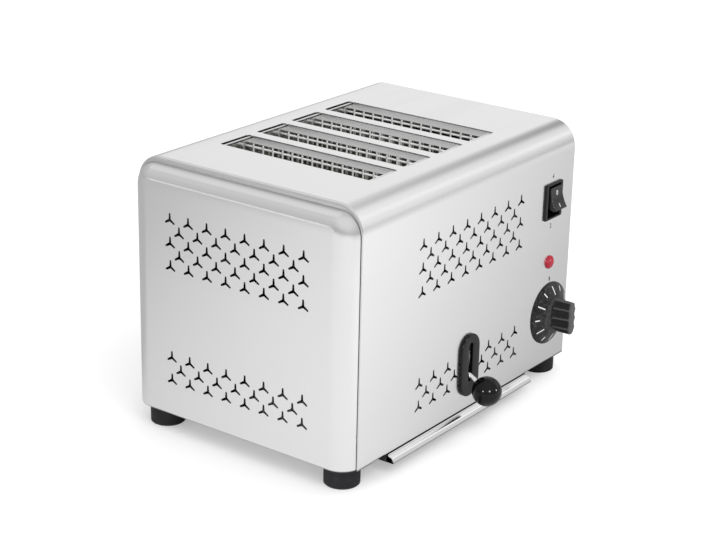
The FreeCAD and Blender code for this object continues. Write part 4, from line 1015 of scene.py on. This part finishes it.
BALL_RADIUS, BALL_MOUTH = 12.0, 2.9
ball_profile = arc(0, 0, BALL_RADIUS, -90, 90 - degrees(asin(BALL_MOUTH / BALL_RADIUS)), 40)
ball_profile += [(2.45, ball_profile[-1][1] - 0.05), (2.25, ball_profile[-1][1] - 0.3), (2.25, 4.3), (0.0, 4.3)]
finished("lever_ball", turned(ball_profile, ball_spot, slope, 72), "carriage", GLOSS_BLACK,
         ["ball_knob"], sharp=40.0, mirrored=False)


def stadium(width, height, x, z):
    """A slot's outline with half-round ends, anticlockwise from the right end of its upper round."""
    radius, straight = width / 2, (height - width) / 2
    return np.array(arc(x, z + straight, radius, 0, 180, 16) + arc(x, z - straight, radius, 180, 360, 16))


def plate_shape():
    """The lever's plate: rings that shrink evenly from the rim to the slot, soft at both edges."""
    low, high = span("lever_plate")
    size, centre = high - low, (low + high) / 2
    slot_wide, slot_z, edge, mouth = 5.6, BOTTOM + LEVER_HOLE_UP, 0.9, 0.5
    sizes = [(size[0], size[2], centre[2], 0.0)]
    for inwards, below, _ in quarter_round(edge, 7):
        sizes.append((size[0] - 2 * inwards, size[2] - 2 * inwards, centre[2], size[1] - below))
    for below, outwards, _ in quarter_round(mouth, 5):
        sizes.append((slot_wide + 2 * outwards, LEVER_HOLE_HIGH + 2 * outwards, slot_z, size[1] - below))
    sizes.append((slot_wide, LEVER_HOLE_HIGH, slot_z, 0.0))
    rings = [upright(stadium(wide, tall, centre[0], z), high[1] - out) for wide, tall, z, out in sizes]
    return Shape().grid(rings, close_rows=True, close_columns=True)


finished("lever_plate_gloss", plate_shape(), "housing", GLOSS_BLACK, ["lever_plate"])


# Rocker switch

POCKET_WIDE, POCKET_HIGH, BEZEL_PROUD = 19.4, 27.6, 1.8
ROCKER_WIDE, ROCKER_HALF = 18.2, 9.75
PIVOT_Y = FRONT + 5.7
TILT = radians(16.0)


def switch_shape():
    """Bezel, pocket and case in one skin of nested rectangles, from the case's back round to the pocket's floor."""
    wide, high, back, floor = 26.0, 31.0, FRONT + 24.0, FRONT + 11.0
    rows = [(0, 0, 0, back), (23.6, 28.8, 0.4, back), (23.6, 28.8, 0.4, FRONT), (wide, high, 1.6, FRONT)]
    for inwards, below, _ in quarter_round(0.7, 6):
        rows.append((wide - 2 * inwards, high - 2 * inwards, 1.6, FRONT - BEZEL_PROUD + below))
    for below, outwards, _ in quarter_round(0.4, 4):
        rows.append((POCKET_WIDE + 2 * outwards, POCKET_HIGH + 2 * outwards, 0.5, FRONT - BEZEL_PROUD + below))
    rows += [(POCKET_WIDE, POCKET_HIGH, 0.5, floor), (0, 0, 0, floor)]
    return nested(rows, CONTROL_X, SWITCH_Z)


finished("switch_case", switch_shape(), "housing", SATIN_BLACK, ["switch_housing"])


def on_rocker(outward, up):
    """Y and Z of a rocker point, turned about the pivot by the tilt at rest."""
    return (PIVOT_Y - outward * cos(TILT) + up * sin(TILT),
            SWITCH_Z + up * cos(TILT) + outward * sin(TILT))


def rocker_face(up):
    """How far out the dished face stands: 10.8 + 1.75 x (height / half) squared."""
    return 10.8 + 1.75 * (up / ROCKER_HALF) ** 2


def rocker_shape():
    """The rocker: a dished face, a back that narrows to the hub, and two pins."""
    face = [on_rocker(rocker_face(up), up) for up in np.linspace(-ROCKER_HALF, ROCKER_HALF, 25)]
    behind = [(9.0, ROCKER_HALF), (5.2, 6.5), (-3.0, 3.25), (-3.0, -3.25), (5.2, -6.5), (9.0, -ROCKER_HALF)]
    outline = face + [on_rocker(*point) for point in behind]
    half, reach = ROCKER_WIDE / 2, ROCKER_WIDE / 2 + 1.6
    pins = tube([(CONTROL_X + x, PIVOT_Y, SWITCH_Z) for x in (-reach, reach)], 1.5, 20)
    return together(extruded(outline[::-1], CONTROL_X - half, CONTROL_X + half), pins)


finished("switch_rocker_cap", rocker_shape(), "rocker", ROCKER_BLACK, ["switch_rocker"], bevel=0.65,
         mirrored=False)


def rocker_mark(up, wide, high, stroke):
    """A ring of raised print on the rocker's face; when it is no wider than two strokes, it is a plain bar.

    Going round, across = wide x cos(turn) and up = high x sin(turn), for the inner and the outer edge."""
    turn = full_turn(40)
    rows = []
    for trim, proud in ((stroke, -0.3), (0.0, -0.3), (0.0, 0.07), (stroke, 0.07)):
        across = max(wide / 2 - trim, 0.0) * np.cos(turn)
        rise = up + max(high / 2 - trim, 0.0) * np.sin(turn)
        rows.append(np.column_stack([CONTROL_X + across, *on_rocker(rocker_face(rise) + proud, rise)]))
    return Shape().grid(rows, close_rows=True, close_columns=True)


# Lamp

lamp_profile = [(0.0, -7.0), (4.9, -7.0), (4.9, 0.0), (5.7, 0.0), (5.7, 0.9), (5.45, 1.25), (5.0, 1.4)]
lamp_profile += [(4.8 * cos(a), 1.4 + 2.0 * sin(a)) for a in np.linspace(0.0, QUARTER, 12)]
finished("signal_lamp", turned(lamp_profile, (CONTROL_X, FRONT, LAMP_Z), (0, -1, 0), 48), "housing", RED,
         ["lamp_lens"], sharp=50.0)


# Timer knob

def skirt_shape():
    """The dial: a coned skirt with a soft edge, hollow behind, and a hub with the shaft's bore."""
    profile = [(3.05, 0.8), (6.0, 0.8), (6.0, 7.4), (13.8, 7.4), (25.0, 1.7), (25.0, 0.8), (26.5, 0.8), (26.8, 1.1),
               (26.8, 2.7), (26.6, 3.1), (16.0, 9.0), (15.2, 9.2), (0.0, 9.2), (0.0, 8.6), (3.05, 8.6), (3.05, 0.8)]
    return turned(profile, (CONTROL_X, FRONT, TIMER_Z), (0, -1, 0), 120)


def grip_shape():
    """The bar across the dial, which narrows from a bowed foot to its end, with grooves down both sides.

    At a share s of its half height, half width = half x (1 - bow x s squared) - 1.3 x |sin(pi s / groove)| ** 1.3,
    less the corner's round. The sides turn into the end over a quarter circle."""
    share = np.sin(np.linspace(-QUARTER, QUARTER, 91))
    notch = 1.3 * np.abs(np.sin(pi * share / GROOVE)) ** 1.3
    corner = np.where(share < 0, 2.8, 1.5)

    def ring(depth, half, bow, inset):
        high = GRIP_HALF_HEIGHT - inset
        into = np.maximum(np.abs(share) * high - (high - corner), 0.0)
        rounding = corner - np.sqrt(np.maximum(corner ** 2 - into ** 2, 0.0))
        side = np.maximum(half * (1 - bow * share ** 2) - notch - rounding - inset, 0.0)
        across = np.concatenate([side, -side[::-1]])
        up = high * np.concatenate([share, share[::-1]])
        return upright(np.stack([CONTROL_X + across, TIMER_Z + up], 1), FRONT - depth)

    ease = 0.9
    rows = [ring(GRIP_FOOT, 0.0, 0.0, 0.0)]
    for part in np.linspace(0, 1, 7):
        rows.append(ring(GRIP_FOOT + (GRIP_END - ease - GRIP_FOOT) * part, 8.6 - 3.4 * part, 0.45 - 0.35 * part, 0.0))
    for inset, short, _ in quarter_round(ease, 6)[1:]:
        rows.append(ring(GRIP_END - short, 5.2, 0.1, inset))
    rows.append(ring(GRIP_END, 0.0, 0.0, ease))
    return Shape().grid(rows, close_columns=True)


finished("timer_dial_knob", together(skirt_shape(), grip_shape()), "timer_dial", KNOB_BLACK,
         ["timer_knob"], sharp=40.0, mirrored=False)


TICK_OUTER = 24.2


def tick(angle, inner):
    """A raised mark on the skirt: a thin slab, 1 mm wide, that follows the cone out from a radius.

    The cone's distance from the panel grows evenly from the skirt's rim to its top."""
    radial = np.array([sin(angle), 0.0, cos(angle)])
    across = np.array([cos(angle), 0.0, -sin(angle)])
    rise = (SKIRT_TOP - SKIRT_RIM) / (SKIRT_RADIUS - SKIRT_TOP_RADIUS)
    corners = []
    for lift in (-0.2, 0.14):
        for radius in (inner, TICK_OUTER):
            depth = SKIRT_RIM + (SKIRT_RADIUS - radius) * rise + lift
            for side in (-0.5, 0.5):
                spot = radial * radius + across * side
                corners.append((CONTROL_X + spot[0], FRONT - depth, TIMER_Z + spot[2]))
    faces = [(0, 1, 3, 2), (4, 6, 7, 5), (0, 4, 5, 1), (2, 3, 7, 6), (0, 2, 6, 4), (1, 5, 7, 3)]
    return Shape().add(corners, faces)


ticks = [tick(radians(30 * step), 20.4 if step % 2 else 17.6) for step in range(12)]
finished("timer_dial_marks", together(*ticks), "timer_dial", WHITE_INK, mirrored=False)

finished("rocker_mark_round", rocker_mark(4.6, 2.6, 3.8, 0.6), "rocker", WHITE_INK)
finished("rocker_mark_bar", rocker_mark(-6.0, 0.9, 3.8, 0.45), "rocker", WHITE_INK)


# Markings on the panel

LABEL_HEIGHT = 4.2
POINTER_X, POINTER_Z = 117.7, 93.0


def label(name, number, z):
    """A short generic number, from the built-in font, laid on the panel as thin raised print."""
    curve = bpy.data.curves.new(name, "FONT")
    curve.body = number
    curve.align_x = "CENTER"
    curve.align_y = "CENTER"
    curve.size = LABEL_HEIGHT * 1.35 * MM
    curve.extrude = 0.06 * MM
    holder = placed(name + "_text", curve)
    bpy.context.view_layer.update()
    mesh = bpy.data.meshes.new_from_object(holder)
    bpy.data.objects.remove(holder)
    spot = Vector((CONTROL_X - 1.0, FRONT, z)) * MM
    mesh.transform(Matrix.Translation(spot) @ Matrix.Rotation(QUARTER, 4, "X"))
    mesh.name = name
    mesh.materials.clear()
    mesh.materials.append(BLACK_INK)
    thing = placed(name, mesh)
    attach(thing, "housing")


label("mark_four_slices", "4", BOTTOM + 165.5)
label("mark_two_slices", "2", BOTTOM + 123.0)
pointer = block((POINTER_X - 0.7, FRONT - 0.08, POINTER_Z - 1.8), (POINTER_X + 0.7, FRONT + 0.02, POINTER_Z + 1.8))
finished("timer_pointer", pointer, "housing", BLACK_INK)


# Cable gland

def gland_shape():
    """The gland at the back: flange, ribbed nut and tapered nose, with an open bore."""
    x, _, z = middle("cable_gland")
    profile = [(3.8, -12.0), (7.0, -12.0), (7.0, 0.0), (10.2, 0.0), (10.5, 0.3), (10.5, 2.6), (10.1, 3.0), (8.8, 3.2)]
    for rib in range(4):
        low, taper = 3.8 + rib * 1.35, 0.1 * rib
        profile += [(8.3, low), (8.3 - taper, low + 0.5), (7.8 - taper, low + 0.65), (7.8 - taper, low + 1.1)]
    profile += [(7.5, 9.5), (7.0, 10.0), (4.3, 10.0), (3.8, 9.6), (3.8, -12.0)]
    return turned(profile, (x, BACK, z), (0, 1, 0), 48)


finished("mains_gland", gland_shape(), "housing", SATIN_BLACK, ["cable_gland"], sharp=28.0)


# Stage

FLOOR_SIZE = 12.0


def floor_finish():
    """A white floor that keeps the object's shadow, and that glows for the steel's reflections alone: a painted pool of
    light.

    u runs away from the camera along the floor and v to its right. The pool's strength is a second-degree
     formula of the two for the front panel, another for the left side, and a painted shadow cuts it out under the
     toaster."""
    finish = Finish("studio_floor")
    finish.holder.cycles.emission_sampling = "NONE"
    x, y, _ = finish.parts(finish.place())
    away_x, away_y = 0.554, 0.756
    u = (x * away_x + y * away_y).above(-0.2).below(0.15)
    sideways = x * away_y - y * away_x
    v = sideways.above(-0.75).below(0.8)
    front = (0.21 - u * 3.158 + v * 0.715 - u * u * 1.272 + u * v * 1.402 - v * v * 0.208).below(1.05)
    ahead = y.between(-0.48, -0.80)
    front = front * (1.0 - ahead) + ahead * 0.62
    side = 0.56 - u * 1.786 + v * 0.041 - u * u * 4.141 + u * v * 0.4 - v * v * 0.182
    distant = sideways.between(-0.8, -1.2)
    side = side * (1.0 - distant) + distant * 0.34
    share = v.between(-0.15, 0.15)
    pool = (front * share + side * (1.0 - share)).above(0.3).below(1.05)
    # Painted shadow: the mirrored glow is cut out under the toaster
    under = x.size().between(0.165, 0.125) * (y - 0.01).size().between(0.131, 0.112)
    ray = finish.add("ShaderNodeLightPath")
    plain = finish.add("ShaderNodeBsdfDiffuse", {"Color": (0.8, 0.8, 0.8, 1.0)}).out()
    dim = finish.add("ShaderNodeBsdfDiffuse", {"Color": (0.25, 0.25, 0.25, 1.0)}).out()
    white = finish.add("ShaderNodeEmission", {"Strength": 0.34}).out()
    glow = finish.add("ShaderNodeEmission", {"Strength": pool * (1.0 - under)}).out()
    seen = finish.add("ShaderNodeAddShader", {0: plain, 1: white}).out()
    mirrored = finish.add("ShaderNodeAddShader", {0: dim, 1: glow}).out()
    first = finish.add("ShaderNodeMixShader", {0: ray.out("Is Glossy Ray"), 1: plain, 2: mirrored}).out()
    finish.finish_with(finish.add("ShaderNodeMixShader", {0: ray.out("Is Camera Ray"), 1: first, 2: seen}).out())
    return finish.holder


# Soft panels of light and shade round the room: direction, inner and outer angle in degrees, added strength
PANELS = [((0.78, -0.55, 0.26), 6, 20, 0.30), ((0.78, -0.35, 0.50), 6, 20, 0.26), ((0.70, 0.28, 0.62), 4, 16, 0.22),
          ((0.78, 0.52, 0.30), 8, 20, 0.40), ((-0.69, 0.50, 0.50), 8, 26, 0.06), ((-0.35, 0.50, 0.78), 8, 26, 0.10),
          ((0.10, 0.50, 0.85), 8, 26, 0.24), ((0.70, -0.20, 0.68), 4, 16, 0.20), ((0.70, -0.48, 0.53), 4, 16, 0.18),
          ((0.70, -0.68, 0.15), 4, 16, 0.26), ((0.90, 0.12, 0.45), 4, 14, -0.34), ((0.90, -0.42, 0.06), 4, 14, -0.34),
          ((-0.79, 0.61, -0.04), 4, 8, 1.0), ((-0.41, -0.43, 0.79), 18, 58, 0.24), ((-0.76, 0.61, -0.235), 2, 5, -0.15),
          ((0.60, 0.05, 0.80), 3, 14, 0.30)]

CAMERA_LENS, CAMERA_PLACE = 92.107, (-1.1313, -0.8144, 0.6310)
CAMERA_TURN = (1.777132, -0.876615, 0.635456)


def studio_world():
    """White to the camera. To the object: an even room, slightly dimmer at eye level, with soft panels of light."""
    world = bpy.data.worlds.new("studio")
    bpy.context.scene.world = world
    finish = Finish(world)
    direction = finish.add("ShaderNodeTexCoord").out("Generated")
    _, _, height = finish.parts(direction)
    light = 0.587 - height.size().between(0.30, 0.0) * 0.10
    for aim, inner, outer, strength in PANELS:
        aim = Vector(aim).normalized()
        match = finish.add("ShaderNodeVectorMath", {0: direction, 1: aim}, operation="DOT_PRODUCT").out("Value")
        light = light + match.between(cos(radians(outer)), cos(radians(inner))) * strength
    ray = finish.add("ShaderNodeLightPath")
    camera = ray.out("Is Camera Ray")
    strength = camera + (1.0 - camera) * light
    shader = finish.add("ShaderNodeBackground", {"Color": (1.0, 1.0, 1.0, 1.0), "Strength": strength}).out()
    finish.finish_with(shader)


def lamp(name, place, aim, size, power, seen=False):
    """A square soft light that faces a point."""
    data = bpy.data.lights.new(name, "AREA")
    data.size = size
    data.energy = power
    thing = placed(name, data)
    thing.location = place
    thing.rotation_euler = (Vector(aim) - Vector(place)).to_track_quat("-Z", "Y").to_euler()
    thing.visible_glossy = seen
    return thing


def spark(name, place, size, power, pieces):
    """A small lamp that only the given glossy pieces catch, as the bright spots on them."""
    thing = lamp(name, place, (0.0, -0.1, 0.06), size, power, seen=True)
    caught = bpy.data.collections.new(name + "_catchers")
    for piece in pieces:
        caught.objects.link(piece)
    thing.light_linking.receiver_collection = caught


def stage():
    """The floor, the room, two soft lamps, three sparks and the camera.

    The camera's turn is a direction whose length is the angle about it, from the room to the view."""
    floor_mesh = bpy.data.meshes.new("floor")
    reach = FLOOR_SIZE / 2
    floor_mesh.from_pydata([(-reach, -reach, 0), (reach, -reach, 0), (reach, reach, 0), (-reach, reach, 0)], [],
                           [(0, 1, 2, 3)])
    floor_mesh.materials.append(floor_finish())
    floor = placed("floor", floor_mesh)
    studio_world()
    lamp("key", (-1.1, -1.7, 2.0), (0, 0, 0.1), 1.6, 26.0)
    lamp("fill", (1.9, -0.6, 1.5), (0, 0, 0.1), 1.6, 14.0)
    glossy = [bpy.data.objects[name] for name in "lever_ball lever_plate_gloss switch_rocker_cap signal_lamp".split()]
    spark("spark_near", (-0.80, -1.27, 0.61), 0.22, 7.0, glossy)
    spark("spark_right", (0.62, -1.49, 0.40), 0.20, 5.0, glossy)
    spark("spark_left", (-1.52, -0.15, 0.52), 0.16, 5.0, glossy)

    camera = placed("camera", bpy.data.cameras.new("camera"))
    camera.data.lens = CAMERA_LENS
    camera.data.sensor_width = 36.0
    camera.data.clip_start = 0.05
    turn = Vector(CAMERA_TURN)
    view = Matrix.Rotation(turn.length, 3, turn.normalized())
    right, down, ahead = view[0], view[1], view[2]
    axes = Matrix((right, -down, -ahead)).transposed().to_4x4()
    camera.matrix_world = Matrix.Translation(CAMERA_PLACE) @ axes
    bpy.context.scene.camera = camera


stage()
bpy.context.scene.view_settings.view_transform = "Standard"
